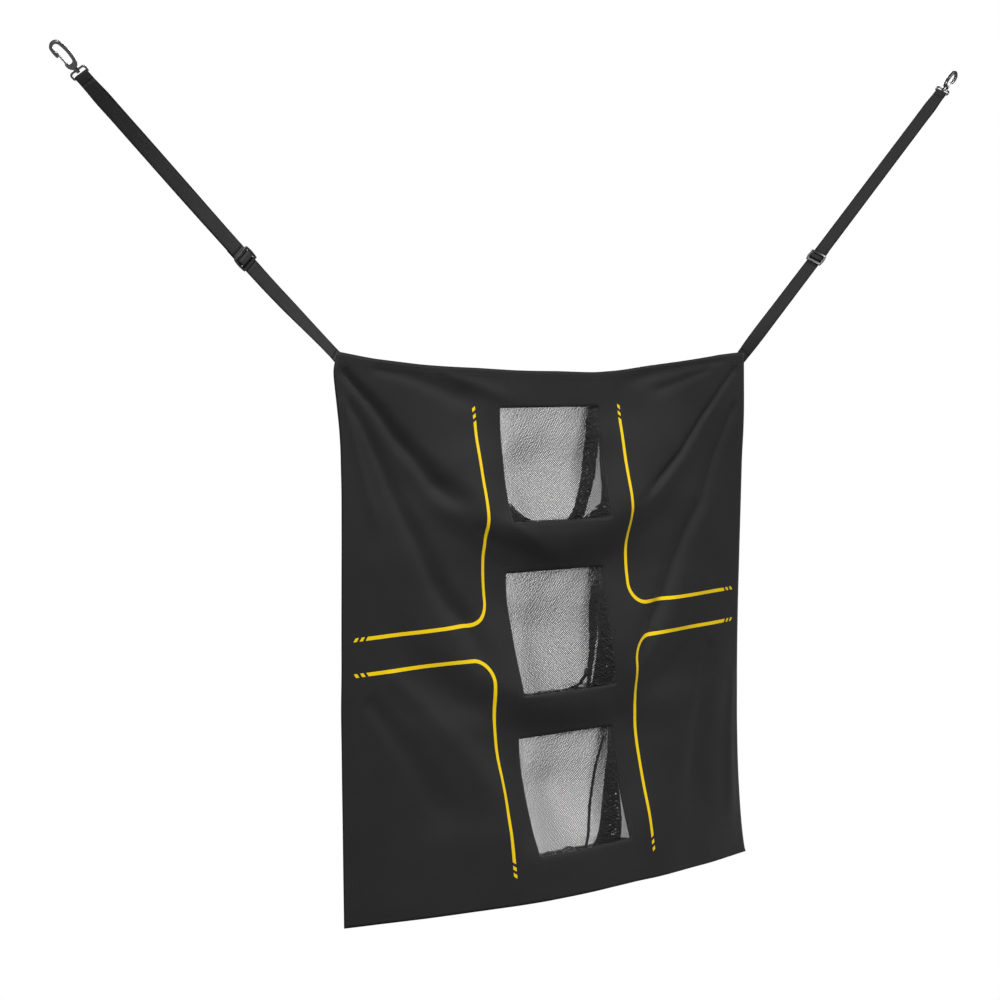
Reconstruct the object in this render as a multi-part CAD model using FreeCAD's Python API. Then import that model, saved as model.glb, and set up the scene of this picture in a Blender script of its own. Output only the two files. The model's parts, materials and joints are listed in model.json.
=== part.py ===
import FreeCAD, Part
import math
import os

# Pitching target: a hanging cloth sheet with three netted windows, two webbing straps and two swivel hooks
# Sizes are in millimetres. X runs along the sheet, Z is up, and the front faces -Y.
# The origin lies midway between the sheet's two top corners.

# Sheet
sheet_width = 965.0
sheet_height = 965.0
sheet_thickness = 1.4
top_sag = 30.0
bottom_sag = 12.0

# Windows, one above the other on the sheet's middle line
window_count = 3
window_width = 232.0
window_height = 207.0
window_drop = 99.0
window_pitch = 291.0
window_corner_radius = 4.0

# The sheet's main folds
top_recess = 4.0
bottom_billow = 76.0
billow_power = 2.2
billow_curve = 0.95
lip_depth = 17.0
lip_drop = 16.0
lip_fall_share = 0.29
lip_fade_power = 2.0
swag_power = 1.6
swag_drop = 332.0
right_edge_curl = 22.0
curl_power = 6.0
curl_rise = 1.6
curl_fall = 0.7
corner_flat = 84.0
corner_blend = 130.0
spans_across = 14
rows_down = 44
loft_margin = 5.0
row_merge = 1.0

# Net pockets behind the windows
net_thickness = 1.2
pocket_depth = 100.0
pocket_wall_power = 3.0
pocket_fullest = 0.55
flange_width = 14.0
flange_corner_radius = 8.0
tape_thickness = 0.8
tape_setback = 2.0

# Sewn layers lie this far apart
layer_gap = 0.8

# Corner patches, sewn behind the sheet
patch_leg = 68.0
patch_inset = 5.0
patch_slope = 10.0
patch_thickness = 0.8

# Webbing
webbing_width = 25.4
webbing_thickness = 1.2
webbing_eye_width = 22.4
anchor_length = 58.0
anchor_overhang = 8.0
eye_taper_length = 40.0
strap_steps = 8

# Each strap: where its middle crosses the sheet's side, its slope, its runs and how it twists
left_strap = {
    "name": "left",
    "side": -1,
    "drop": 14.0,
    "slope_deg": 42.4,
    "lower_length": 241.0,
    "upper_length": 398.5,
    "slider_twist_deg": -7.0,
    "eye_twist_deg": -44.0,
    "eye_tilt_deg": 0.0,
    "hook_turn_deg": 0.0,
    "back_side": -1,
}
right_strap = {
    "name": "right",
    "side": 1,
    "drop": 6.0,
    "slope_deg": 42.6,
    "lower_length": 285.0,
    "upper_length": 522.0,
    "slider_twist_deg": -50.0,
    "eye_twist_deg": -50.0,
    "eye_tilt_deg": 4.0,
    "hook_turn_deg": 66.0,
    "back_side": 1,
}

# Slider
slider_length = 27.0
slider_width = 31.4
slider_bow = 1.4
slider_thickness = 3.0
slider_slot_width = 26.4
slider_slot_length = 7.1
centre_bar_length = 3.6
centre_bar_thickness = 2.2
slider_edge_radius = 0.8
webbing_clearance = 0.25
pass_foot = 6.2
pass_shoulder = 4.2
pass_reach = 17.0
bend_radius = 1.3
tail_reach = 30.0
tail_clearance = 0.7

# Swivel eye
eye_outer_width = 30.0
eye_inner_width = 23.2
eye_stock = 3.4
eye_inner_depth = 7.3
eye_top_stock = 3.0
eye_edge_radius = 1.0
eye_foot_radius = 4.0
eye_shoulder_radius = 5.5
eye_inner_foot_radius = 0.8
eye_inner_shoulder_radius = 3.0
eye_boss_diameter = 8.0
eye_boss_proud = 0.4
turn_clearance = 0.55
turn_reach = 14.0

# Hook, which turns in the eye on its shank
shank_diameter = 4.0
shank_clearance = 0.1
shank_end_play = 0.3
shank_head_diameter = 6.4
shank_head_length = 2.2
collar_diameter = 8.4
collar_length = 1.8
hook_depth = 6.0
hook_edge_radius = 1.0
hook_crown_height = 43.6
hook_outer_radius = 10.6
hook_inner_radius = 5.3
hook_base_half = 4.2
hook_back_height = 14.0
hook_back_outer = 11.2
hook_back_inner = 5.4
hook_back_flare_deg = 12.0
hook_nose_flare_deg = 8.0
horn_height = 13.7
horn_outer = 8.8
horn_inner = 4.0
horn_root = 9.2
horn_thickness = 3.0
horn_neck = 8.6
nose_height = 29.1
nose_outer = 10.5
nose_lip_inner = 6.9
nose_notch_height = 38.6

# Gate, one bent wire
gate_wire_diameter = 1.5
gate_pivot_height = 11.0
gate_pivot_offset = 6.4
gate_top_height = 37.3
gate_top_offset = 5.7
gate_side_gap = 0.15
gate_hole_clearance = 0.08
gate_end_gap = 0.2


def vec(x, y, z):
    return FreeCAD.Vector(x, y, z)


def smooth(share):
    held = min(max(share, 0.0), 1.0)
    return held * held * (3.0 - 2.0 * held)


def lip_wave(turns):
    # 1 at a lip's crest and -1 in the valley below it
    held = min(max(turns, lip_fall_share - 1.0), window_count - 1.0)
    part = held - math.floor(held)
    if part < lip_fall_share:
        return math.cos(math.pi * part / lip_fall_share)
    return -math.cos(math.pi * (part - lip_fall_share) / (1.0 - lip_fall_share))


def fold_y(x, z):
    # Where the cloth's front lies: it billows forwards at the foot and swags in lips under the windows
    drop = min(max(-z, 0.0), sheet_height)
    fall = drop / sheet_height
    across = min(abs(x) / (sheet_width / 2.0), 1.0)
    fullness = 1.0 - across ** swag_power
    growth = (1.0 - billow_curve) * fall + billow_curve * fall ** 2
    billow = (1.0 - across ** billow_power) * ((bottom_billow + top_recess) * growth - top_recess)
    first_lip = window_drop + window_height + lip_drop
    hang = drop + swag_drop * across ** 2
    lips = lip_depth * fullness ** lip_fade_power * lip_wave((hang - first_lip) / window_pitch)
    fullest = curl_rise / (curl_rise + curl_fall)
    curl_share = (fall / fullest) ** curl_rise * ((1.0 - fall) / (1.0 - fullest)) ** curl_fall
    curl = right_edge_curl * max(2.0 * x / sheet_width, 0.0) ** curl_power * curl_share
    from_corner = math.hypot(sheet_width / 2.0 - abs(x), drop)
    return smooth((from_corner - corner_flat) / corner_blend) * (curl - billow - lips)


span_width = sheet_width / spans_across
row_top = loft_margin
row_step = (sheet_height + bottom_sag + 2.0 * loft_margin) / rows_down


def drawn_row_y(x, z):
    # One row of the sheet's loft, with a parabola standing for each span's arc
    place = min(max((x + sheet_width / 2.0) / span_width, 0.0), spans_across - 1e-6)
    start = -sheet_width / 2.0 + math.floor(place) * span_width
    share = place - math.floor(place)
    first = fold_y(start, z)
    middle = fold_y(start + span_width / 2.0, z)
    last = fold_y(start + span_width, z)
    return (
        first * (1.0 - share) * (1.0 - 2.0 * share)
        + middle * 4.0 * share * (1.0 - share)
        + last * share * (2.0 * share - 1.0)
    )


def drawn_y(x, z):
    # The front of the lofted sheet, which is straight from one row to the next
    place = min(max((row_top - z) / row_step, 0.0), rows_down - 1e-6)
    upper = row_top - math.floor(place) * row_step
    share = place - math.floor(place)
    return (1.0 - share) * drawn_row_y(x, upper) + share * drawn_row_y(x, upper - row_step)


def arc_or_line(start, middle, end):
    if (end - start).cross(middle - start).Length < 1e-4 * (end - start).Length:
        return Part.LineSegment(start, end).toShape()
    return Part.Arc(start, middle, end).toShape()


def line(start, end):
    return Part.LineSegment(start, end).toShape()


def layer(stations, rows, front_y, thickness):
    # A thin layer of cloth: a ruled loft through one closed wire of arcs at each row
    def row_wire(z):
        def at(x, back):
            return vec(x, front_y(x, z) + back, z)

        def side(places, back):
            return [
                arc_or_line(at(a, back), at((a + b) / 2.0, back), at(b, back))
                for a, b in zip(places, places[1:])
            ]

        front = side(stations, 0.0)
        back = side(stations[::-1], thickness)
        first = line(at(stations[0], thickness), at(stations[0], 0.0))
        last = line(at(stations[-1], 0.0), at(stations[-1], thickness))
        return Part.Wire(front + [last] + back + [first])

    return Part.makeLoft([row_wire(z) for z in rows], True, True)


def rounded_rectangle(left, right, bottom, top, radius):
    # A face in the XZ plane, in front of everything
    edges = []
    corners = [(left, bottom, 180.0), (right, bottom, 270.0), (right, top, 0.0), (left, top, 90.0)]
    ends = []
    for x, z, begin in corners:
        centre_x = x + radius if x == left else x - radius
        centre_z = z + radius if z == bottom else z - radius
        turn = [
            vec(
                centre_x + radius * math.cos(math.radians(begin + step)),
                0.0,
                centre_z + radius * math.sin(math.radians(begin + step)),
            )
            for step in (0.0, 45.0, 90.0)
        ]
        ends.append(turn)
    for turn, after in zip(ends, ends[1:] + ends[:1]):
        edges.append(Part.Arc(*turn).toShape())
        edges.append(line(turn[2], after[0]))
    return Part.Face(Part.Wire(edges))


def through(face):
    # The face drawn out front to back, past every fold and pocket
    reach = bottom_billow + top_recess + lip_depth + right_edge_curl + pocket_depth
    start = face.copy()
    start.translate(vec(0.0, -reach, 0.0))
    return start.extrude(vec(0.0, 2.0 * reach, 0.0))


def window_box(index, grow, radius):
    top = -(window_drop + index * window_pitch)
    bottom = top - window_height
    half = window_width / 2.0
    return rounded_rectangle(-half - grow, half + grow, bottom - grow, top + grow, radius)


def even(start, end, count):
    return [start + (end - start) * step / count for step in range(count + 1)]


def with_sheet_rows(rows):
    # A layer behind the sheet turns where the sheet's rows turn, so the two never cross
    sheet_rows = [row_top - row_step * step for step in range(rows_down + 1)]
    between = [z for z in sheet_rows if rows[-1] < z < rows[0]]
    own = [z for z in rows[1:-1] if min(abs(z - row) for row in between) > row_merge]
    return sorted([rows[0]] + own + between + [rows[-1]], reverse=True)


def with_sheet_stations(stations):
    # The same across the sheet
    sheet_stations = even(-sheet_width / 2.0, sheet_width / 2.0, spans_across)
    between = [x for x in sheet_stations if stations[0] < x < stations[-1]]
    own = [x for x in stations[1:-1] if min(abs(x - station) for station in between) > row_merge]
    return sorted([stations[0]] + own + between + [stations[-1]])


def target_sheet():
    stations = even(-sheet_width / 2.0, sheet_width / 2.0, spans_across)
    rows = [row_top - row_step * step for step in range(rows_down + 1)]
    slab = layer(stations, rows, fold_y, sheet_thickness)
    side = sheet_width / 2.0
    out = side + loft_margin
    # The sagging edges reach past the sheet's sides at the same slope
    top_out = 2.0 * top_sag * 2.0 * loft_margin / side
    bottom_out = 2.0 * bottom_sag * 2.0 * loft_margin / side
    outline = Part.Wire(
        [
            line(vec(-out, 0, top_out / 2.0), vec(-side, 0, 0)),
            Part.Arc(vec(-side, 0, 0), vec(0, 0, -top_sag), vec(side, 0, 0)).toShape(),
            line(vec(side, 0, 0), vec(out, 0, top_out / 2.0)),
            line(vec(out, 0, top_out / 2.0), vec(out, 0, -sheet_height + bottom_out / 2.0)),
            line(vec(out, 0, -sheet_height + bottom_out / 2.0), vec(side, 0, -sheet_height)),
            Part.Arc(
                vec(side, 0, -sheet_height), vec(0, 0, -sheet_height - bottom_sag), vec(-side, 0, -sheet_height)
            ).toShape(),
            line(vec(-side, 0, -sheet_height), vec(-out, 0, -sheet_height + bottom_out / 2.0)),
            line(vec(-out, 0, -sheet_height + bottom_out / 2.0), vec(-out, 0, top_out / 2.0)),
        ]
    )
    holes = [through(window_box(index, 0.0, window_corner_radius)) for index in range(window_count)]
    return slab.common(through(Part.Face(outline))).cut(Part.makeCompound(holes))


def pocket_bulge(index, x, z):
    # How far the net hangs back behind its window
    across = min(abs(x) / (window_width / 2.0), 1.0)
    bottom = -(window_drop + index * window_pitch) - window_height
    height = min(max((z - bottom) / window_height, 0.0), 1.0)
    return pocket_depth * (1.0 - across ** pocket_wall_power) * math.sin(math.pi * height ** pocket_fullest)


def pocket_net(index):
    half = window_width / 2.0
    past = flange_width + loft_margin
    out = [half * share for share in (0.4, 0.8, 1.0)] + [half + past]
    stations = with_sheet_stations([-place for place in out[::-1]] + out)
    bottom = -(window_drop + index * window_pitch) - window_height
    shares = (1.0, 0.85, 0.7, 0.52, 0.36, 0.22, 0.12, 0.05, 0.015, 0.0)
    rows = [bottom + window_height + past] + [bottom + window_height * share for share in shares]
    rows.append(bottom - past)

    def net_y(x, z):
        return drawn_y(x, z) + sheet_thickness + layer_gap + pocket_bulge(index, x, z)

    slab = layer(stations, with_sheet_rows(rows), net_y, net_thickness)
    return slab.common(through(window_box(index, flange_width, flange_corner_radius)))


def rim_tape(index):
    half = window_width / 2.0 + flange_width + loft_margin
    bottom = -(window_drop + index * window_pitch) - window_height
    top = bottom + window_height
    past = flange_width + loft_margin
    behind = sheet_thickness + layer_gap + net_thickness + layer_gap
    stations = with_sheet_stations([-half, half])
    rows = with_sheet_rows([top + past, bottom - past])

    def tape_y(x, z):
        return drawn_y(x, z) + behind

    slab = layer(stations, rows, tape_y, tape_thickness)
    outer = through(window_box(index, flange_width, flange_corner_radius))
    inner = through(window_box(index, tape_setback, window_corner_radius + tape_setback))
    return slab.common(outer).cut(inner)


patch_front = sheet_thickness + layer_gap
strap_plane = patch_front + patch_thickness + layer_gap + webbing_thickness / 2.0


def corner_patch(strap):
    side = strap["side"]
    edge = side * (sheet_width / 2.0 - patch_inset)
    inward = -side * patch_leg
    points = [
        vec(edge, patch_front, -patch_inset),
        vec(edge + inward, patch_front, -patch_inset - patch_slope),
        vec(edge + inward, patch_front, -patch_inset - 2.0 * patch_slope),
        vec(edge + inward * 0.3, patch_front, -patch_inset - patch_leg),
        vec(edge, patch_front, -patch_inset - patch_leg),
    ]
    face = Part.Face(Part.makePolygon(points + points[:1]))
    return face.extrude(vec(0.0, patch_thickness, 0.0))


def strap_axes(strap, twist_deg):
    # Along the strap, across its width, and out of its front
    slope = math.radians(strap["slope_deg"])
    along = vec(strap["side"] * math.cos(slope), 0.0, math.sin(slope))
    flat_front = vec(0.0, -1.0, 0.0)
    flat_across = flat_front.cross(along)
    twist = math.radians(twist_deg)
    across = flat_across * math.cos(twist) + flat_front * math.sin(twist)
    front = flat_front * math.cos(twist) - flat_across * math.sin(twist)
    return along, across, front


def strap_anchor(strap):
    return vec(strap["side"] * sheet_width / 2.0, strap_plane, -strap["drop"])


def strap_point(strap, station, across, height, twist_deg):
    along, sideways, front = strap_axes(strap, twist_deg)
    return strap_anchor(strap) + along * station + sideways * across + front * height


def strap_place(strap, station, height, twist_deg):
    # Moves a piece drawn with X along the strap, Y across it and Z out of its front
    along, across, front = strap_axes(strap, twist_deg)
    turn = FreeCAD.Rotation(along, across, front, "ZXY")
    return FreeCAD.Placement(strap_point(strap, station, 0.0, height, twist_deg), turn)


def strip_section(strap, station, height, width, twist_deg):
    half_width = width / 2.0
    half_thick = webbing_thickness / 2.0
    corners = [(-half_width, -half_thick), (half_width, -half_thick), (half_width, half_thick), (-half_width, half_thick)]
    points = [strap_point(strap, station, across, height + up, twist_deg) for across, up in corners]
    return Part.makePolygon(points + points[:1])


def strip(strap, start, end, steps=strap_steps):
    # A strip of webbing between two ends, each (station, height, width, twist), that turns evenly
    sections = []
    for step in range(steps + 1):
        share = step / steps
        station, height, width, twist = [a + (b - a) * share for a, b in zip(start, end)]
        sections.append(strip_section(strap, station, height, width, twist))
    return Part.makeLoft(sections, True, True)


run_height = -(slider_thickness / 2.0 + webbing_clearance + webbing_thickness / 2.0)
layer_step = webbing_thickness + webbing_clearance
return_height = run_height - layer_step
tail_height = return_height - webbing_thickness - tail_clearance
turn_radius = eye_stock / 2.0 + turn_clearance + webbing_thickness / 2.0
eye_height = (run_height + return_height) / 2.0


def anchor_strip(strap):
    inner = (-anchor_length, 0.0, webbing_width, 0.0)
    outer = (anchor_overhang, 0.0, webbing_width, 0.0)
    return strip(strap, inner, outer, 1)


def lower_run(strap):
    start = (anchor_overhang, 0.0, webbing_width, 0.0)
    end = (strap["lower_length"] - pass_reach, run_height, webbing_width, strap["slider_twist_deg"])
    return strip(strap, start, end)


def upper_run(strap, slider_height, turn_side):
    # One layer from the slider to the turn round the eye's bar, which draws it in
    eye_station = strap["lower_length"] + strap["upper_length"]
    first = strap["lower_length"] + pass_reach
    last = eye_station - turn_reach
    share = (last - eye_taper_length - first) / (last - first)
    eye_side_height = eye_height + turn_side * turn_radius
    taper_height = slider_height + (eye_side_height - slider_height) * share
    taper_twist = strap["slider_twist_deg"] + (strap["eye_twist_deg"] - strap["slider_twist_deg"]) * share
    start = (first, slider_height, webbing_width, strap["slider_twist_deg"])
    taper = (last - eye_taper_length, taper_height, webbing_width, taper_twist)
    end = (last, eye_side_height, webbing_eye_width, strap["eye_twist_deg"])
    sections = []
    for a, b, steps in ((start, taper, strap_steps), (taper, end, 2)):
        for step in range(steps + 1):
            if a is taper and step == 0:
                continue
            values = [p + (q - p) * step / steps for p, q in zip(a, b)]
            sections.append(strip_section(strap, *values))
    return Part.makeLoft(sections, True, True)


def ribbon(points, radius, width):
    # Webbing bent along a path in the XZ plane, with the same bend at each inner point
    half = webbing_thickness / 2.0
    path = [vec(x, 0.0, z) for x, z in points]
    ways = [(b - a).normalize() for a, b in zip(path, path[1:])]
    sides = {half: [], -half: []}
    for offset, edges in sides.items():
        start = path[0] + vec(-ways[0].z, 0.0, ways[0].x) * offset
        for corner, way, after in zip(path[1:-1], ways, ways[1:]):
            turn = math.atan2(way.x * after.z - way.z * after.x, way.dot(after))
            cut = radius * math.tan(abs(turn) / 2.0)
            centre = corner - way * cut + vec(-way.z, 0.0, way.x) * math.copysign(radius, turn)
            reach = radius - offset * math.copysign(1.0, turn)
            to_start = vec(way.z, 0.0, -way.x) * math.copysign(reach, turn)
            to_end = vec(after.z, 0.0, -after.x) * math.copysign(reach, turn)
            to_middle = (to_start + to_end).normalize() * reach
            edges.append(line(start, centre + to_start))
            edges.append(Part.Arc(centre + to_start, centre + to_middle, centre + to_end).toShape())
            start = centre + to_end
        edges.append(line(start, path[-1] + vec(-ways[-1].z, 0.0, ways[-1].x) * offset))
    first = line(sides[-half][0].Vertexes[0].Point, sides[half][0].Vertexes[0].Point)
    last = line(sides[half][-1].Vertexes[-1].Point, sides[-half][-1].Vertexes[-1].Point)
    face = Part.Face(Part.Wire(sides[half] + [last] + sides[-half][::-1] + [first]))
    face.translate(vec(0.0, -width / 2.0, 0.0))
    return face.extrude(vec(0.0, width, 0.0))


wrap_reach = centre_bar_length / 2.0 + webbing_clearance + webbing_thickness / 2.0
wrap_top = centre_bar_thickness / 2.0 + webbing_clearance + webbing_thickness / 2.0
pass_top = wrap_top + layer_step


def at_slider(shape, strap):
    shape.Placement = strap_place(strap, strap["lower_length"], 0.0, strap["slider_twist_deg"])
    return shape


def slider_pass(strap):
    points = [
        (-pass_reach, run_height),
        (-pass_foot, run_height),
        (-pass_shoulder, pass_top),
        (pass_shoulder, pass_top),
        (pass_foot, run_height),
        (pass_reach, run_height),
    ]
    return at_slider(ribbon(points, bend_radius, webbing_width), strap)


def sewn_end(strap):
    points = [
        (pass_reach, return_height),
        (wrap_reach, return_height),
        (wrap_reach, wrap_top),
        (-wrap_reach, wrap_top),
        (-wrap_reach, tail_height),
        (tail_reach, tail_height),
    ]
    return at_slider(ribbon(points, bend_radius, webbing_width), strap)


def slider(strap):
    half_length = slider_length / 2.0
    half_width = slider_width / 2.0
    bowed = half_width + slider_bow
    outline = Part.Wire(
        [
            line(vec(-half_length, -half_width, 0), vec(-half_length, half_width, 0)),
            Part.Arc(vec(-half_length, half_width, 0), vec(0, bowed, 0), vec(half_length, half_width, 0)).toShape(),
            line(vec(half_length, half_width, 0), vec(half_length, -half_width, 0)),
            Part.Arc(vec(half_length, -half_width, 0), vec(0, -bowed, 0), vec(-half_length, -half_width, 0)).toShape(),
        ]
    )
    plate = Part.Face(outline).extrude(vec(0, 0, slider_thickness))
    plate.translate(vec(0, 0, -slider_thickness / 2.0))
    plate = plate.makeFillet(slider_edge_radius, plate.Edges)
    opening = centre_bar_length + 2.0 * slider_slot_length
    slot = Part.makeBox(opening, slider_slot_width, 2.0 * slider_thickness)
    slot.translate(vec(-opening / 2.0, -slider_slot_width / 2.0, -slider_thickness))
    bar_span = slider_slot_width + 2.0
    bar = Part.makeBox(centre_bar_length, bar_span, centre_bar_thickness)
    bar.translate(vec(-centre_bar_length / 2.0, -bar_span / 2.0, -centre_bar_thickness / 2.0))
    return at_slider(plate.cut(slot).fuse(bar).removeSplitter(), strap)


def eye_place(strap):
    # Drawn with X out along the strap from the middle of the eye's bar, then tilted about that bar
    station = strap["lower_length"] + strap["upper_length"]
    level = strap_place(strap, station, eye_height, strap["eye_twist_deg"])
    tilt = FreeCAD.Placement(vec(0, 0, 0), FreeCAD.Rotation(vec(0, 1, 0), strap["eye_tilt_deg"]))
    return level.multiply(tilt)


def hook_place(strap):
    # The hook and its gate are turned on the shank
    turn = FreeCAD.Placement(vec(0, 0, 0), FreeCAD.Rotation(vec(1, 0, 0), strap["hook_turn_deg"]))
    return eye_place(strap).multiply(turn)


def eye_turn(strap):
    inner = turn_radius - webbing_thickness / 2.0
    outer = turn_radius + webbing_thickness / 2.0
    start = -turn_reach
    wire = Part.Wire(
        [
            line(vec(start, 0, outer), vec(0, 0, outer)),
            Part.Arc(vec(0, 0, outer), vec(outer, 0, 0), vec(0, 0, -outer)).toShape(),
            line(vec(0, 0, -outer), vec(start, 0, -outer)),
            line(vec(start, 0, -outer), vec(start, 0, -inner)),
            line(vec(start, 0, -inner), vec(0, 0, -inner)),
            Part.Arc(vec(0, 0, -inner), vec(inner, 0, 0), vec(0, 0, inner)).toShape(),
            line(vec(0, 0, inner), vec(start, 0, inner)),
            line(vec(start, 0, inner), vec(start, 0, outer)),
        ]
    )
    face = Part.Face(wire)
    face.translate(vec(0, -webbing_eye_width / 2.0, 0))
    turn = face.extrude(vec(0, webbing_eye_width, 0))
    station = strap["lower_length"] + strap["upper_length"]
    turn.Placement = strap_place(strap, station, eye_height, strap["eye_twist_deg"])
    return turn


def ring_face(low, high, half_width, foot_radius, shoulder_radius):
    # A rounded rectangle in the XY plane, with its own radius at each end
    foot = low + foot_radius
    shoulder = high - shoulder_radius
    foot_y = half_width - foot_radius
    shoulder_y = half_width - shoulder_radius
    diagonal = math.sqrt(0.5)
    edges = [
        line(vec(low, foot_y, 0), vec(low, -foot_y, 0)),
        Part.Arc(
            vec(low, -foot_y, 0),
            vec(foot - foot_radius * diagonal, -foot_y - foot_radius * diagonal, 0),
            vec(foot, -half_width, 0),
        ).toShape(),
        line(vec(foot, -half_width, 0), vec(shoulder, -half_width, 0)),
        Part.Arc(
            vec(shoulder, -half_width, 0),
            vec(shoulder + shoulder_radius * diagonal, -shoulder_y - shoulder_radius * diagonal, 0),
            vec(high, -shoulder_y, 0),
        ).toShape(),
        line(vec(high, -shoulder_y, 0), vec(high, shoulder_y, 0)),
        Part.Arc(
            vec(high, shoulder_y, 0),
            vec(shoulder + shoulder_radius * diagonal, shoulder_y + shoulder_radius * diagonal, 0),
            vec(shoulder, half_width, 0),
        ).toShape(),
        line(vec(shoulder, half_width, 0), vec(foot, half_width, 0)),
        Part.Arc(
            vec(foot, half_width, 0),
            vec(foot - foot_radius * diagonal, foot_y + foot_radius * diagonal, 0),
            vec(low, foot_y, 0),
        ).toShape(),
    ]
    return Part.Face(Part.Wire(edges))


ring_low = -eye_stock / 2.0
opening_low = eye_stock / 2.0
opening_high = opening_low + eye_inner_depth
ring_high = opening_high + eye_top_stock
boss_low = opening_high - eye_boss_proud
boss_high = ring_high + eye_boss_proud
collar_low = boss_high + shank_end_play
hook_base = collar_low + collar_length
head_high = boss_low - shank_end_play
head_low = head_high - shank_head_length


def round_bar(diameter, low, high):
    return Part.makeCylinder(diameter / 2.0, high - low, vec(low, 0, 0), vec(1, 0, 0))


def swivel_eye(strap):
    outer = ring_face(ring_low, ring_high, eye_outer_width / 2.0, eye_foot_radius, eye_shoulder_radius)
    inner = ring_face(
        opening_low, opening_high, eye_inner_width / 2.0, eye_inner_foot_radius, eye_inner_shoulder_radius
    )
    ring = outer.cut(inner).extrude(vec(0, 0, eye_stock))
    ring.translate(vec(0, 0, -eye_stock / 2.0))
    rims = [edge for edge in ring.Edges if abs(abs(edge.CenterOfMass.z) - eye_stock / 2.0) < 1e-6]
    ring = ring.makeFillet(eye_edge_radius, rims)
    boss = round_bar(eye_boss_diameter, boss_low, boss_high)
    hole = round_bar(shank_diameter + 2.0 * shank_clearance, boss_low - 1.0, boss_high + 1.0)
    eye = ring.fuse(boss).cut(hole)
    eye.Placement = eye_place(strap)
    return eye


def hook_outline(back):
    # X runs up the hook from its base and Y towards its back, so back is 1 or -1
    def at(point):
        return vec(hook_base + point[0], back * point[1], 0)

    def straight(start, finish):
        return line(at(start), at(finish))

    def on_crown(radius, degrees):
        turn = math.radians(degrees)
        return hook_crown_height + radius * math.cos(turn), radius * math.sin(turn)

    def bend(start, heading, finish):
        # An arc that leaves its start on a heading, with the heading at its end
        chord = math.degrees(math.atan2(finish[1] - start[1], finish[0] - start[0]))
        turn = (heading - chord + 180.0) % 360.0 - 180.0
        sag = math.dist(start, finish) / 2.0 * math.tan(math.radians(turn / 2.0))
        normal = math.radians(chord + 90.0)
        middle = (
            (start[0] + finish[0]) / 2.0 + sag * math.cos(normal),
            (start[1] + finish[1]) / 2.0 + sag * math.sin(normal),
        )
        return Part.Arc(at(start), at(middle), at(finish)).toShape(), chord - turn

    back_top = on_crown(hook_outer_radius, 90.0 - hook_back_flare_deg)
    nose_top = on_crown(hook_outer_radius, hook_nose_flare_deg - 90.0)
    inner_back = on_crown(hook_inner_radius, 90.0 - hook_back_flare_deg)
    inner_nose = on_crown(hook_inner_radius, -90.0)
    base_back = (0.0, hook_base_half)
    base_nose = (0.0, -hook_base_half)
    nose_tip = (nose_height, -nose_outer)
    lip_tip = (nose_height, -nose_lip_inner)
    lip_root = (nose_notch_height, -nose_lip_inner)
    notch_root = (nose_notch_height, -hook_inner_radius)
    horn_root_point = (horn_root, -horn_inner)
    horn_tip = (horn_height, -horn_inner)
    horn_edge = (horn_height, -horn_outer)
    horn_side = (horn_height * 0.44, -horn_outer * 0.95)
    back_arc, at_foot = bend(back_top, 180.0 - hook_back_flare_deg, (hook_back_height, hook_back_outer))
    foot_arc, _ = bend((hook_back_height, hook_back_outer), at_foot, base_back)
    nose_arc, _ = bend(nose_top, 180.0 + hook_nose_flare_deg, nose_tip)
    inner_arc, at_throat = bend(inner_back, 180.0 - hook_back_flare_deg, (hook_back_height, hook_back_inner))
    throat_arc, _ = bend((hook_back_height, hook_back_inner), at_throat, horn_root_point)
    edges = [
        straight(base_nose, base_back),
        foot_arc,
        back_arc,
        Part.Arc(at(back_top), at(on_crown(hook_outer_radius, 0.0)), at(nose_top)).toShape(),
        nose_arc,
        straight(nose_tip, lip_tip),
        straight(lip_tip, lip_root),
        straight(lip_root, notch_root),
        straight(notch_root, inner_nose),
        Part.Arc(at(inner_nose), at(on_crown(hook_inner_radius, 0.0)), at(inner_back)).toShape(),
        inner_arc,
        throat_arc,
        straight(horn_root_point, horn_tip),
        straight(horn_tip, horn_edge),
        Part.Arc(at(horn_edge), at(horn_side), at(base_nose)).toShape(),
    ]
    return Part.Face(Part.Wire(edges))


def hook(strap):
    back = strap["back_side"]
    body = hook_outline(back).extrude(vec(0, 0, hook_depth))
    body.translate(vec(0, 0, -hook_depth / 2.0))
    rims = [edge for edge in body.Edges if abs(abs(edge.CenterOfMass.z) - hook_depth / 2.0) < 1e-6]
    body = body.makeFillet(hook_edge_radius, rims)
    # The horn is thinned on both sides for the gate's legs
    reach = hook_outer_radius
    side_cut = (hook_depth - horn_thickness) / 2.0
    for level in (horn_thickness / 2.0, -hook_depth / 2.0):
        relief = Part.makeBox(reach, reach, side_cut)
        low_y = -horn_inner - reach if back > 0 else horn_inner
        relief.translate(vec(hook_base + horn_neck, low_y, level))
        body = body.cut(relief)
    pivot = vec(hook_base + gate_pivot_height, -back * gate_pivot_offset, -hook_depth)
    hole_radius = gate_wire_diameter / 2.0 + gate_hole_clearance
    body = body.cut(Part.makeCylinder(hole_radius, 2.0 * hook_depth, pivot))
    shank = round_bar(shank_diameter, head_high - 0.5, collar_low + 0.5)
    head = round_bar(shank_head_diameter, head_low, head_high)
    collar = round_bar(collar_diameter, collar_low, hook_base + 0.8)
    whole = body.fuse([collar, shank, head])
    whole.Placement = hook_place(strap)
    return whole


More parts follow.
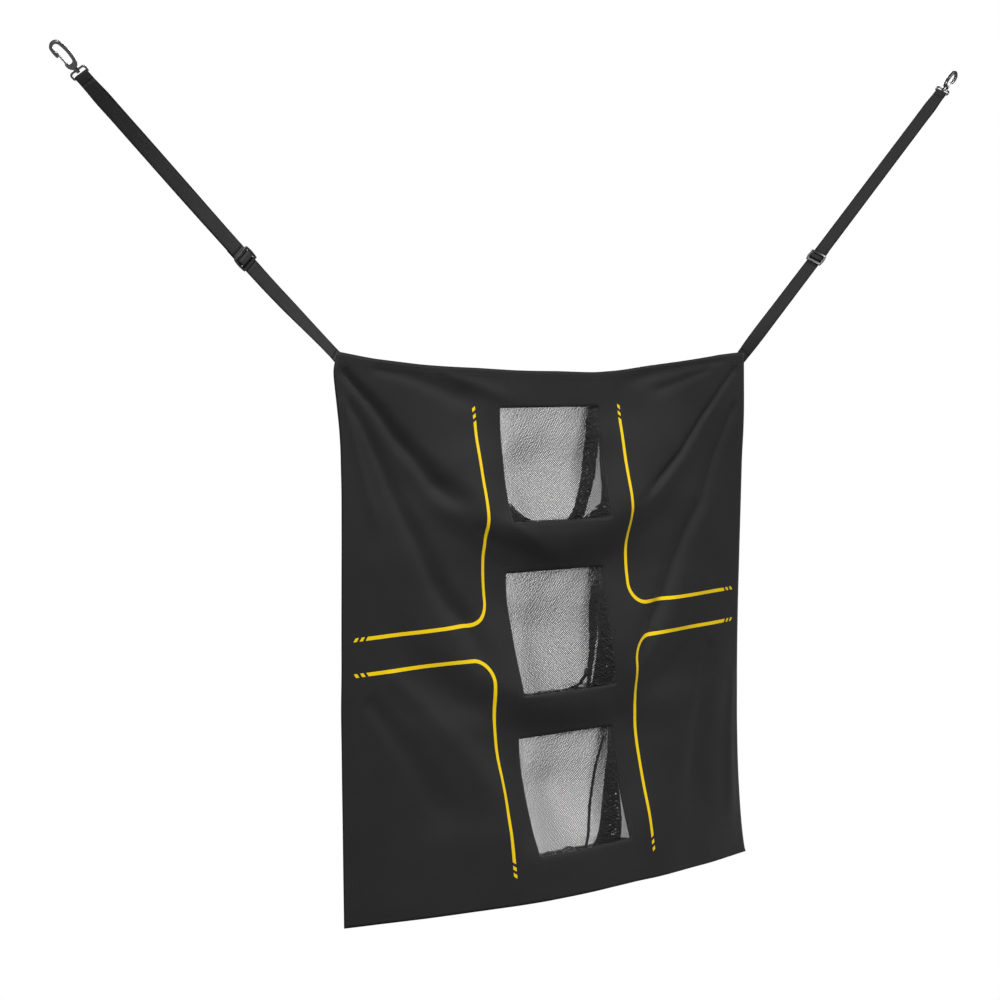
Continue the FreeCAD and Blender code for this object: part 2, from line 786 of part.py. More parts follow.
def gate(strap):
    back = strap["back_side"]
    radius = gate_wire_diameter / 2.0
    spread = horn_thickness / 2.0 + gate_side_gap + radius
    foot = vec(hook_base + gate_pivot_height, -back * gate_pivot_offset, 0)
    top = vec(hook_base + gate_top_height, -back * gate_top_offset, 0)
    up = vec(0, 0, 1)

    def rod(start, end):
        return Part.makeCylinder(radius, (end - start).Length, start, end - start)

    pieces = [rod(top - up * spread, top + up * spread)]
    for side in (1, -1):
        bend = foot + up * side * spread
        corner = top + up * side * spread
        pieces.append(rod(bend, corner))
        pieces.append(rod(foot + up * side * gate_end_gap, bend))
        pieces.append(Part.makeSphere(radius, bend))
        pieces.append(Part.makeSphere(radius, corner))
    wire = pieces[0].fuse(pieces[1:])
    wire.Placement = hook_place(strap)
    return wire


def all_nodes():
    nodes = {"target_sheet": target_sheet()}
    for index, level in zip(range(window_count), ("upper", "middle", "lower")):
        nodes[level + "_pocket_net"] = pocket_net(index)
        nodes[level + "_rim_tape"] = rim_tape(index)
    for strap in (left_strap, right_strap):
        name = strap["name"]
        nodes[name + "_corner_patch"] = corner_patch(strap)
        nodes[name + "_strap_anchor"] = anchor_strip(strap)
        nodes[name + "_strap_lower_run"] = lower_run(strap)
        nodes[name + "_strap_slider_pass"] = slider_pass(strap)
        nodes[name + "_strap_sewn_end"] = sewn_end(strap)
        nodes[name + "_slider"] = slider(strap)
        nodes[name + "_strap_front_run"] = upper_run(strap, run_height, 1.0)
        nodes[name + "_strap_back_run"] = upper_run(strap, return_height, -1.0)
        nodes[name + "_strap_eye_turn"] = eye_turn(strap)
        nodes[name + "_swivel_eye"] = swivel_eye(strap)
        nodes[name + "_hook"] = hook(strap)
        nodes[name + "_hook_gate"] = gate(strap)
    return nodes


os.makedirs("parts", exist_ok=True)
for node, shape in all_nodes().items():
    print(node, "solids", len(shape.Solids), "valid", shape.isValid(), "volume", round(shape.Volume, 1))
    shape.exportStep("parts/" + node + ".step")
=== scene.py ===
import json
import math

import bmesh
import bpy
import numpy as np
from mathutils import Euler, Matrix, Vector, noise

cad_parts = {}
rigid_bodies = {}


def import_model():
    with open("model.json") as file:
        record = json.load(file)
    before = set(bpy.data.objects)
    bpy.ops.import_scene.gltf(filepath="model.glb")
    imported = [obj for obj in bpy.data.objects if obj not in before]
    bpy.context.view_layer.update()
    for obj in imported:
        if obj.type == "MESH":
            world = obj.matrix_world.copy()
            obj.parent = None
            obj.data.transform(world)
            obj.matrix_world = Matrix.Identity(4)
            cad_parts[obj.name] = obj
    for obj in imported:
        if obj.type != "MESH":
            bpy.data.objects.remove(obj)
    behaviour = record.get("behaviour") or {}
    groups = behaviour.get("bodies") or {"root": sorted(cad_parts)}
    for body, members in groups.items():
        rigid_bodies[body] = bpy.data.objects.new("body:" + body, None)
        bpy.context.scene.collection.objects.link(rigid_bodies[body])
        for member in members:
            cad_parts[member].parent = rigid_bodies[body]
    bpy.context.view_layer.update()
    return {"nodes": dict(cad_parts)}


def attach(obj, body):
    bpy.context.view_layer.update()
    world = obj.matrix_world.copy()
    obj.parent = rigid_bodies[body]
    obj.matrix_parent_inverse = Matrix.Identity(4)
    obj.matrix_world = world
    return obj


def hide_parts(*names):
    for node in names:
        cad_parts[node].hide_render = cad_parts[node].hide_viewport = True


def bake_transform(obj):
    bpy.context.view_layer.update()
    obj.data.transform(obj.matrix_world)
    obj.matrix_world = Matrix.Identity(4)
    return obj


for leftOver in list(bpy.data.objects):
    bpy.data.objects.remove(leftOver, do_unlink=True)
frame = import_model()
print("frame loaded")

camera = {
    "place": (-2.8119, -3.168, -0.0519),  # metres, from the middle of the sheet's top edge
    "headingDeg": 40.213,  # clockwise from +Y
    "pitchDeg": -2.867,
    "rollDeg": 0.505,
    "lensMm": 85.18,
    "sensorMm": 36.0,
    "clipEnd": 60.0,
}


def newObject(name, data, materials=()):
    obj = bpy.data.objects.new(name, data)
    bpy.context.collection.objects.link(obj)
    for material in materials:
        data.materials.append(material)
    return obj


def makeCamera():
    data = bpy.data.cameras.new("camera")
    data.lens = camera["lensMm"]
    data.sensor_width = camera["sensorMm"]
    data.clip_end = camera["clipEnd"]
    obj = newObject("camera", data)
    obj.location = camera["place"]
    level = Euler((math.radians(90.0 + camera["pitchDeg"]), 0.0, math.radians(-camera["headingDeg"])))
    roll = Matrix.Rotation(math.radians(-camera["rollDeg"]), 3, "Z")
    obj.rotation_euler = (level.to_matrix() @ roll).to_euler()
    bpy.context.scene.camera = obj


makeCamera()

# Shader helpers


class Wire:
    # A shader's value that plain arithmetic can be done with
    def __init__(self, tree, socket):
        self.tree = tree
        self.socket = socket

    def math(self, operation, *others):
        made = addNode(self.tree, "ShaderNodeMath", dict(enumerate((self, *others))), operation=operation)
        return Wire(self.tree, made.outputs[0])

    def __add__(self, other):
        return self.math("ADD", other)

    def __sub__(self, other):
        return self.math("SUBTRACT", other)

    def __rsub__(self, other):
        return self.math("MULTIPLY_ADD", -1.0, other)

    def __mul__(self, other):
        return self.math("MULTIPLY", other)

    def __abs__(self):
        return self.math("ABSOLUTE")


def connect(tree, socket, value):
    # The value is a plain one, another node's socket or a Wire
    value = value.socket if isinstance(value, Wire) else value
    if isinstance(value, bpy.types.NodeSocket):
        tree.links.new(value, socket)
    else:
        socket.default_value = value


def addNode(tree, kind, inputs=None, **settings):
    made = tree.nodes.new(kind)
    for name, value in settings.items():
        setattr(made, name, value)
    for name, value in (inputs or {}).items():
        connect(tree, made.inputs[name], value)
    return made


def mixColour(tree, factor, first, second):
    return addNode(tree, "ShaderNodeMix", {0: factor, 6: first, 7: second}, data_type="RGBA").outputs[2]


def shaded(tree, colour, shade):
    return addNode(tree, "ShaderNodeVectorMath", {0: colour, 3: shade}, operation="SCALE").outputs[0]


def ramp(tree, value, low, high):
    # From 0 to 1 as the value goes from low to high
    made = addNode(tree, "ShaderNodeMapRange", {"Value": value, "From Min": low, "From Max": high})
    return Wire(tree, made.outputs[0])


def uneven(value, amount):
    # A tone that goes lighter and darker with the value
    return value * amount + (1.0 - amount / 2.0)


def acrossAndAlong(tree, place):
    parts = addNode(tree, "ShaderNodeSeparateXYZ", {0: place}).outputs
    return Wire(tree, parts[0]), Wire(tree, parts[1])


def grey(value):
    return (value, value, value * 1.02, 1.0)


def newGroup(name, kind, inputs, outputs):
    # Inputs and outputs give each label's kind of socket
    tree = bpy.data.node_groups.new(name, kind)
    for inOut, sockets in (("INPUT", inputs), ("OUTPUT", outputs)):
        for label, socket in sockets.items():
            tree.interface.new_socket(name=label, in_out=inOut, socket_type="NodeSocket" + socket)
    return tree, tree.nodes.new("NodeGroupInput").outputs, tree.nodes.new("NodeGroupOutput").inputs


def makeWeaveGroup():
    # Threads over and under each other, from a place in metres
    inputs = {"Place": "Vector", "Pitch": "Float"}
    tree, start, end = newGroup("weave", "ShaderNodeTree", inputs, {"Height": "Float", "Gap": "Float"})
    across, along = (part.math("DIVIDE", start["Pitch"]) for part in acrossAndAlong(tree, start["Place"]))

    def threads(first, second, sign):
        ridge = abs((first * math.pi).math("SINE"))
        wave = ((second + first.math("FLOOR")) * math.pi).math("COSINE")
        return ridge * (wave * (0.5 * sign) + 0.5)

    height = threads(across, along, 1.0).math("MAXIMUM", threads(along, across, -1.0))
    connect(tree, end["Height"], height)
    # Gap marks where the threads dip; the materials darken it as painted shade between the threads
    connect(tree, end["Gap"], 1.0 - height)
    return tree


def makeUseGroup():
    # Uneven tone and small scuffs from handling
    inputs = {"Place": "Vector", "Patch Scale": "Float", "Speck Scale": "Float"}
    tree, start, end = newGroup("handling", "ShaderNodeTree", inputs, {"Tone": "Float", "Speck": "Float"})
    grains = (("Tone", "Patch Scale", 4.0, 0.6), ("Speck", "Speck Scale", 2.0, 0.7))
    for name, scale, detail, roughness in grains:
        grain = {"Vector": start["Place"], "Scale": start[scale], "Detail": detail, "Roughness": roughness}
        connect(tree, end[name], addNode(tree, "ShaderNodeTexNoise", grain).outputs[0])
    return tree


weaveGroup = makeWeaveGroup()
useGroup = makeUseGroup()


def placeGroup(tree, group, inputs):
    made = addNode(tree, "ShaderNodeGroup", inputs, node_tree=group)
    return {socket.name: Wire(tree, socket) for socket in made.outputs}


def placeUse(tree, place, patchScale, speckScale):
    return placeGroup(tree, useGroup, {"Place": place, "Patch Scale": patchScale, "Speck Scale": speckScale})


def newMaterial(name, settings):
    material = bpy.data.materials.new(name)
    material.use_nodes = True
    tree = material.node_tree
    shader = tree.nodes["Principled BSDF"]
    for socket, value in settings.items():
        shader.inputs[socket].default_value = value
    return material, tree, shader


def objectPlace(tree):
    return addNode(tree, "ShaderNodeTexCoord").outputs["Object"]


def uvPlace(tree, name):
    return addNode(tree, "ShaderNodeUVMap", uv_map=name).outputs[0]


def bumpInto(tree, shader, height, distance, strength):
    made = addNode(tree, "ShaderNodeBump", {"Height": height, "Distance": distance, "Strength": strength})
    connect(tree, shader.inputs["Normal"], made.outputs[0])


# Cloth sheet

cloth = {
    "width": 0.965,
    "height": 0.965,
    "thickness": 0.0012,
    "hemThickness": 0.0021,
    "topSag": 0.030,
    "bottomSag": -0.006,
    "windowWidth": 0.232,
    "windowHeight": 0.207,
    "windowDrop": 0.099,
    "windowPitch": 0.291,
    "windowCount": 3,
    "topRecess": 0.004,
    "bottomBillow": 0.076,
    "billowPower": 2.2,
    "billowCurve": 0.95,
    "lipDepth": 0.017,
    "lipDrop": 0.016,
    "lipFallShare": 0.29,
    "lipFadePower": 2.0,
    "swagPower": 1.6,
    "swagDrop": 0.332,
    "rightEdgeCurl": 0.022,
    "curlPower": 6.0,
    "curlRise": 1.6,
    "curlFall": 0.7,
    "cornerFlat": 0.084,
    "cornerBlend": 0.130,
    "cell": 0.0051,
    "hemWidth": 0.017,
    "rimHem": 0.012,
    "seamGap": 1e-6,  # points this near a hem's edge count as inside it
    "weavePitch": 0.00062,
    "tone": 0.021,
    "gapShadeTone": 0.010,
    "paintedEdgeShade": (0.001, 0.0032),  # a share of the sheet along its edges, darkened there as painted shade where the hem turns back
}

# Each crease: half width and depth in mm, then its line across and down in thousandths of the sheet
creases = [
    (18, -14.37, [(-490, -24), (-447, -66), (-404, -112), (-372, -149), (-328, -189), (-284, -235)]
     + [(-249, -260), (-203, -284), (-171, -298)]),
    (17, -4.02, [(-206, -308), (-170, -338), (-111, -359), (-40, -387)]),
    (21, -11.27, [(-482, -74), (-450, -123), (-408, -194), (-366, -274), (-324, -346), (-293, -410)]
     + [(-261, -458), (-230, -487), (-201, -550), (-173, -633)]),
    (11, 4.83, [(-490, -75), (-471, -152), (-451, -222), (-439, -266), (-419, -328)]),
    (4, -2.07, [(-471, -37), (-450, -65), (-424, -96)]),
    (17, -5.17, [(-427, -29), (-342, -43), (-275, -61), (-217, -79), (-134, -95)]),
    (12, 2.53, [(-273, -34), (-180, -58), (-74, -95)]),
    (8.5, -10.69, [(484, -23), (437, -70), (381, -132), (325, -194), (269, -241), (227, -274), (185, -301)]),
    (5, 2.07, [(475, -31), (421, -98), (368, -160)]),
    (17, -10.92, [(481, -88), (444, -157), (410, -225), (380, -293), (336, -351), (297, -416)]
     + [(259, -482), (229, -518), (198, -572), (164, -645)]),
    (10, -2.99, [(412, -31), (352, -49), (285, -71), (244, -81)]),
    (12, -2.99, [(456, -15), (352, -27), (258, -44), (166, -68)]),
    (15, 2.99, [(-142, -302), (-96, -331), (-37, -363), (36, -388)]),
    (20, 4.2, [(478, -620), (462, -800), (450, -960)]),
    (36, -7.8, [(400, -560), (365, -680), (330, -830), (310, -950)]),
    (30, -8.62, [(-450, -600), (-360, -720), (-280, -860)]),
    (36, 7.47, [(-410, -560), (-330, -630), (-200, -780), (-150, -920)]),
]

creaseEnds = {
    "fadeIn": 0.05,  # shares of the line's length
    "fadeOut": 0.3,
    "startSize": 0.4,  # shares of the half width and depth
    "gain": 0.9,
    "cornerStart": 0.008,  # metres from the sheet's hung corners
    "cornerBlend": 0.030,
}

ripple = {
    "largeScale": 5.5,
    "largeDepth": 0.0022,
    "largeStretch": (1.6, 0.4, 0.8),  # of x by x and z, and of z by z
    "largeSeed": 3.1,
    "fineScale": 21.0,
    "fineDepth": 0.0006,
    "fineSeed": 8.4,
    "edgeReach": 0.05,  # the hems hold the ripples flatter
    "edgeShare": 0.3,
}


def smoothStep(share):
    held = np.clip(share, 0.0, 1.0)
    return held * held * (3.0 - 2.0 * held)


def lipWave(turns):
    fall = cloth["lipFallShare"]
    held = np.clip(turns, fall - 1.0, cloth["windowCount"] - 1.0)
    part = held - np.floor(held)
    falling, rising = np.cos(np.pi * part / fall), -np.cos(np.pi * (part - fall) / (1.0 - fall))
    return np.where(part < fall, falling, rising)


def foldY(x, z):
    # The same main folds as the frame's sheet
    drop = np.clip(-z, 0.0, cloth["height"])
    fall = drop / cloth["height"]
    across = np.minimum(np.abs(x) / (cloth["width"] / 2.0), 1.0)
    fullness = 1.0 - across ** cloth["swagPower"]
    growth = (1.0 - cloth["billowCurve"]) * fall + cloth["billowCurve"] * fall**2
    forward = (cloth["bottomBillow"] + cloth["topRecess"]) * growth - cloth["topRecess"]
    billow = (1.0 - across ** cloth["billowPower"]) * forward
    firstLip = cloth["windowDrop"] + cloth["windowHeight"] + cloth["lipDrop"]
    hang = drop + cloth["swagDrop"] * across**2
    lips = cloth["lipDepth"] * lipWave((hang - firstLip) / cloth["windowPitch"])
    lips = lips * fullness ** cloth["lipFadePower"]
    curl = cloth["rightEdgeCurl"] * np.maximum(2.0 * x / cloth["width"], 0.0) ** cloth["curlPower"]
    fullest = cloth["curlRise"] / (cloth["curlRise"] + cloth["curlFall"])
    curl = curl * (fall / fullest) ** cloth["curlRise"]
    curl = curl * ((1.0 - fall) / (1.0 - fullest)) ** cloth["curlFall"]
    corner = np.hypot(cloth["width"] / 2.0 - np.abs(x), drop)
    return smoothStep((corner - cloth["cornerFlat"]) / cloth["cornerBlend"]) * (curl - billow - lips)


def creaseForward(x, z):
    # Gathers and fold lines that run down from the hung corners and widen on the way
    total = np.zeros_like(x)
    for half, depth, line in creases:
        points = np.array(line) / 1000.0 * cloth["width"]
        lengths = np.hypot(*np.diff(points, axis=0).T)
        best = np.full_like(x, 1e9)
        place = np.zeros_like(x)
        travelled = 0.0
        for start, end, length in zip(points, points[1:], lengths):
            way = (end - start) / length
            along = np.clip((x - start[0]) * way[0] + (z - start[1]) * way[1], 0.0, length)
            away = np.hypot(x - start[0] - way[0] * along, z - start[1] - way[1] * along)
            nearer = away < best
            best = np.where(nearer, away, best)
            place = np.where(nearer, (travelled + along) / lengths.sum(), place)
            travelled += length
        fade = smoothStep(place / creaseEnds["fadeIn"]) * smoothStep((1.0 - place) / creaseEnds["fadeOut"])
        size = creaseEnds["startSize"] + creaseEnds["gain"] * place
        total += depth / 1000.0 * size * fade * np.exp(-((best / (half / 1000.0 * size)) ** 2))
    return total


# How far the cloth hangs behind its main folds, in mm, down upright lines of the sheet
hangTrim = {
    "down": [0, 105, 150, 190, 230, 270, 302, 345, 390, 440, 485]
    + [527, 568, 605, 645, 685, 730, 770, 805, 845, 885, 965],
    "across": [-482, -172, -116, 116, 172, 482],
    "behind": [
        [0] * 22,
        [8, 11, 12, 8, 7, -1, -2, -4, 2, 6, 6, 6, 5, 2, -8, -5, -3, -1, 1, -5, -6, -6],
        [0, 0, 5, 8, 14, 14, 3, 2, 2, 8, 9, 11, 6, -3, -4, -5, 3, 7, 9, 7, -8, -8],
        [0, -2, -4, 5, 6, 4, 2, 3, 5, -2, 1, 3, 8, 14, 8, 6, 5, 10, 16, 16, 11, 8],
        [8, 9, 6, 5, 4, -3, -1, 0, 4, 4, 4, 5, 6, 6, -2, 6, 8, 10, 10, 7, 5, 5],
        [0] * 22,
    ],
    "cell": 0.010,
    "softening": 3,
}

# Small shifts of the cloth in its own plane, in mm
edgeTrim = {
    "topAcross": [-482, -411, -305, -164, -77, 23, 109, 180, 238, 296, 354, 417, 463, 482],
    "topLower": [0, 3, 3, 1, 3, 4, 8, 7, 3, 1, -1, -3, -2, 0],
    "leftDown": [0, 15, 30, 64, 97, 130, 163, 229, 350, 529, 600, 965],
    "leftOut": [-4, 5, 9, 5, 1, -3, -5, -6, -4, -1, 1, 1],
    "leftReach": 0.16,
    "windowDown": [0, 99, 306, 390, 597, 681, 888, 965],
    "windowLower": [0, 0, -6, 1, 8, 0, -5, 0],
    "windowReach": 0.26,
    "windowBlend": 0.14,
    "softStep": 0.008,
}


def makeTrimField():
    # The trim on a fine grid, softened so that its lines leave no kinks
    half = cloth["width"] / 2.0
    steps = int(round(cloth["width"] / hangTrim["cell"])) + 1
    across = np.linspace(-half, half, steps) * 1000.0
    down = np.linspace(0.0, cloth["height"], steps) * 1000.0
    lines = np.array([np.interp(down, hangTrim["down"], line) for line in hangTrim["behind"]])
    field = np.array([np.interp(across, hangTrim["across"], lines[:, row]) for row in range(steps)])
    for _ in range(2 * hangTrim["softening"]):
        # Softens down the grid and turns it over, so that every second pass softens across
        padded = np.pad(field, ((1, 1), (0, 0)), mode="edge")
        field = ((padded[:-2] + 2.0 * field + padded[2:]) / 4.0).T
    return field / 1000.0


trimField = makeTrimField()


def fieldAt(field, x, drop):
    # Between the grid's points the value changes evenly
    steps = field.shape[0] - 1
    across = np.clip((x / cloth["width"] + 0.5) * steps, 0.0, steps - 1e-6)
    down = np.clip(drop / cloth["height"] * steps, 0.0, steps - 1e-6)
    column, row = across.astype(int), down.astype(int)
    u, v = across - column, down - row
    upper = field[row, column] * (1.0 - u) + field[row, column + 1] * u
    lower = field[row + 1, column] * (1.0 - u) + field[row + 1, column + 1] * u
    return upper * (1.0 - v) + lower * v


def noiseAt(x, z, scale, seed):
    flatX, flatZ = x.ravel(), z.ravel()
    values = [noise.noise(Vector((a * scale, b * scale, seed))) for a, b in zip(flatX, flatZ)]
    return np.array(values).reshape(x.shape)


def sheetY(x, z):
    x, z = np.atleast_1d(np.asarray(x, float)), np.atleast_1d(np.asarray(z, float))
    inward = cloth["width"] / 2.0 - np.abs(x)
    calm = ripple["edgeShare"] + (1.0 - ripple["edgeShare"]) * smoothStep(inward / ripple["edgeReach"])
    drop = np.clip(-z, 0.0, cloth["height"])
    corner = np.hypot(inward, drop)
    flat = smoothStep((corner - cloth["cornerFlat"]) / cloth["cornerBlend"])
    wide, lean, high = ripple["largeStretch"]
    large = noiseAt(x * wide + z * lean, z * high, ripple["largeScale"], ripple["largeSeed"])
    fine = noiseAt(x, z, ripple["fineScale"], ripple["fineSeed"])
    rippled = (ripple["largeDepth"] * large + ripple["fineDepth"] * fine) * calm
    creased = smoothStep((corner - creaseEnds["cornerStart"]) / creaseEnds["cornerBlend"])
    return foldY(x, z) + (fieldAt(trimField, x, drop) - rippled) * flat - creaseForward(x, z) * creased


def softInterp(place, knots, values):
    # A table's value, with its corners rounded off
    knots, values = np.array(knots) / 1000.0, np.array(values) / 1000.0
    near = [np.interp(place + step * edgeTrim["softStep"], knots, values) for step in (-2, -1, 0, 1, 2)]
    return sum(weight * value for weight, value in zip((0.1, 0.25, 0.3, 0.25, 0.1), near))


def clothPoint(x, drop):
    # Where a point of the flat cloth hangs
    x, drop = np.asarray(x, float), np.asarray(drop, float)
    half = cloth["width"] / 2.0
    share = 1.0 - (x / half) ** 2
    atTop = smoothStep(1.0 - drop / cloth["windowDrop"])
    low = cloth["windowDrop"] + (cloth["windowCount"] - 1) * cloth["windowPitch"] + cloth["windowHeight"]
    atFoot = smoothStep((drop - low) / (cloth["height"] - low))
    lower = atTop * (cloth["topSag"] * share + softInterp(x, edgeTrim["topAcross"], edgeTrim["topLower"]))
    lower += atFoot * cloth["bottomSag"] * share
    nearWindows = smoothStep((edgeTrim["windowReach"] - np.abs(x)) / edgeTrim["windowBlend"])
    lower += softInterp(drop, edgeTrim["windowDown"], edgeTrim["windowLower"]) * nearWindows
    nearLeft = smoothStep(1.0 - (half + x) / edgeTrim["leftReach"])
    out = softInterp(drop, edgeTrim["leftDown"], edgeTrim["leftOut"]) * nearLeft
    return x - out, sheetY(x, -(drop + lower)), -(drop + lower)


def spread(marks, cell):
    # Places from the first mark to the last, with every mark kept
    places = [marks[0]]
    for start, end in zip(marks, marks[1:]):
        count = max(1, round((end - start) / cell))
        places += [start + (end - start) * step / count for step in range(1, count + 1)]
    return np.array(places)


def windowEdges(index):
    top = cloth["windowDrop"] + index * cloth["windowPitch"]
    return cloth["windowWidth"] / 2.0, top, top + cloth["windowHeight"]


def gridMesh(name, points, uvs, uvName, keep=None):
    # Quads over a grid of points, with their own UV map; rows run down and columns across
    rows, columns = points.shape[:2]
    index = np.arange(rows * columns).reshape(rows, columns)
    quads = np.stack([index[:-1, :-1], index[1:, :-1], index[1:, 1:], index[:-1, 1:]], axis=-1)
    quads = quads.reshape(-1, 4) if keep is None else quads[keep]
    used = np.unique(quads)
    renumber = np.full(rows * columns, -1)
    renumber[used] = np.arange(len(used))
    mesh = bpy.data.meshes.new(name)
    mesh.from_pydata(points.reshape(-1, 3)[used].tolist(), [], renumber[quads].tolist())
    mesh.uv_layers.new(name=uvName).data.foreach_set("uv", uvs.reshape(-1, 2)[quads.ravel()].ravel())
    mesh.shade_smooth()
    return mesh, used


def thicken(obj, thickness):
    thick = obj.modifiers.new("thickness", "SOLIDIFY")
    thick.thickness = thickness
    thick.offset = -1.0
    return thick


def settle(obj, body, node=None):
    # Puts a finished piece on its body, and in the place of its node where it has one
    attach(obj, body)
    if node:
        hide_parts(node)


stripes = {
    "fromMiddle": 0.178,  # shares of the sheet's width
    "upperDrop": 0.484,
    "lowerDrop": 0.5465,
    "width": 0.0067,
    "cornerRadius": 0.042,
    "topEnd": 0.1,
    "bottomEnd": 0.948,
    "sideEnd": 0.474,
    "dash": 0.0070,
    "gap": 0.0060,
    "slant": 0.7,  # of the dashes' ends
    "skew": 0.033,
    "colour": (0.83, 0.575, 0.0008),
}


def makeClothMaterial(name, printed):
    finish = {"Sheen Weight": 0.06, "Sheen Roughness": 0.4, "Specular IOR Level": 0.22}
    material, tree, shader = newMaterial(name, finish)
    place = uvPlace(tree, "cloth")
    across, drop = acrossAndAlong(tree, place)
    # The printed stripes run square to the cloth, a little askew at the sides
    level = drop + across * stripes["skew"] * (drop * math.pi).math("SINE")
    out = abs(across)
    radius = stripes["cornerRadius"]
    step = stripes["dash"] + stripes["gap"]

    def cornerStripe(toPanel, toEnd):
        # A line that comes down, turns a rounded corner and runs out to the side, with dashes at its ends
        first, second = radius + stripes["fromMiddle"] - out, radius - toPanel
        squares = [turn.math("MAXIMUM", 0.0).math("POWER", 2.0) for turn in (first, second)]
        reach = (squares[0] + squares[1]).math("SQRT")
        away = reach + first.math("MAXIMUM", second).math("MINIMUM", 0.0) - radius
        band = abs(away).math("LESS_THAN", stripes["width"] / 2.0)
        fromEnd = toEnd.math("MINIMUM", stripes["sideEnd"] - out) + away * stripes["slant"]
        inDashes = fromEnd.math("LESS_THAN", 2.0 * step)
        inGap = fromEnd.math("DIVIDE", step).math("FRACT").math("GREATER_THAN", stripes["dash"] / step)
        return band * fromEnd.math("GREATER_THAN", 0.0) * (1.0 - inDashes * inGap)

    upper = cornerStripe(stripes["upperDrop"] - level, drop - stripes["topEnd"])
    lower = cornerStripe(level - stripes["lowerDrop"], stripes["bottomEnd"] - drop)
    painted = upper.math("MAXIMUM", lower) * printed
    scale = {0: place, 1: (cloth["width"],) * 3}
    metres = addNode(tree, "ShaderNodeVectorMath", scale, operation="MULTIPLY").outputs[0]
    weave = placeGroup(tree, weaveGroup, {"Place": metres, "Pitch": cloth["weavePitch"]})
    use = placeUse(tree, metres, 7.0, 900.0)
    toSide = (0.5 - out).math("MINIMUM", drop.math("MINIMUM", 1.0 - drop))
    # Painted shade: the colour darkens along the sheet's edges, where the hem turns back
    edgeShade = ramp(tree, toSide, *cloth["paintedEdgeShade"]) * 0.65 + 0.35
    shade = uneven(use["Tone"], 0.5) * (use["Speck"] * 0.35 + 0.82) * edgeShade
    # Painted shade: the weave's gaps are darker between the threads
    base = shaded(tree, mixColour(tree, weave["Gap"], grey(cloth["tone"]), grey(cloth["gapShadeTone"])), shade)
    paint = shaded(tree, stripes["colour"], uneven(use["Speck"], 0.16))
    connect(tree, shader.inputs["Base Color"], mixColour(tree, painted, base, paint))
    connect(tree, shader.inputs["Roughness"], painted * -0.12 + 0.56)
    bumpInto(tree, shader, use["Tone"] * 0.4 + weave["Height"] * 0.5 + painted * 0.35, 0.00022, 0.6)
    return material


# Printed on the front only
clothMaterials = [makeClothMaterial("clothFront", 1.0), makeClothMaterial("clothBack", 0.0)]


def makeSheet():
    half, windowHalf = cloth["width"] / 2.0, cloth["windowWidth"] / 2.0
    hem, rim, gap = cloth["hemWidth"], cloth["rimHem"], cloth["seamGap"]
    marks = [-half, hem - half, -windowHalf - rim, -windowHalf]
    columns = spread(marks + [-mark for mark in reversed(marks)], cloth["cell"])
    marks = [0.0, hem]
    for index in range(cloth["windowCount"]):
        side, top, bottom = windowEdges(index)
        marks += [top - rim, top, bottom, bottom + rim]
    drops = spread(marks + [cloth["height"] - hem, cloth["height"]], cloth["cell"])
    x, drop = np.meshgrid(columns, drops)
    points = np.stack(clothPoint(x, drop), axis=-1)
    uvs = np.stack([x, drop], axis=-1) / cloth["width"]
    cellX, cellDrop = np.meshgrid((columns[:-1] + columns[1:]) / 2.0, (drops[:-1] + drops[1:]) / 2.0)
    keep = np.ones(cellX.shape, bool)
    doubled = np.minimum(half - np.abs(x), np.minimum(drop, cloth["height"] - drop)) < hem + gap
    for index in range(cloth["windowCount"]):
        side, top, bottom = windowEdges(index)
        keep &= ~((np.abs(cellX) < side) & (cellDrop > top) & (cellDrop < bottom))
        doubled |= (np.abs(x) < side + rim + gap) & (drop > top - rim - gap) & (drop < bottom + rim + gap)
    mesh, used = gridMesh("targetSheet", points, uvs, "cloth", keep)
    obj = newObject("targetSheet", mesh, clothMaterials)
    # Hems are folded back, so the cloth is thicker there
    group = obj.vertex_groups.new(name="thickness")
    thin = cloth["thickness"] / cloth["hemThickness"]
    for weight, chosen in ((1.0, doubled.ravel()[used]), (thin, ~doubled.ravel()[used])):
        group.add(np.flatnonzero(chosen).tolist(), weight, "REPLACE")
    thick = thicken(obj, cloth["hemThickness"])
    thick.vertex_group = group.name
    thick.material_offset = 1
    return obj


sheet = makeSheet()
settle(sheet, "target", "target_sheet")
print("sheet made")

# Net pockets

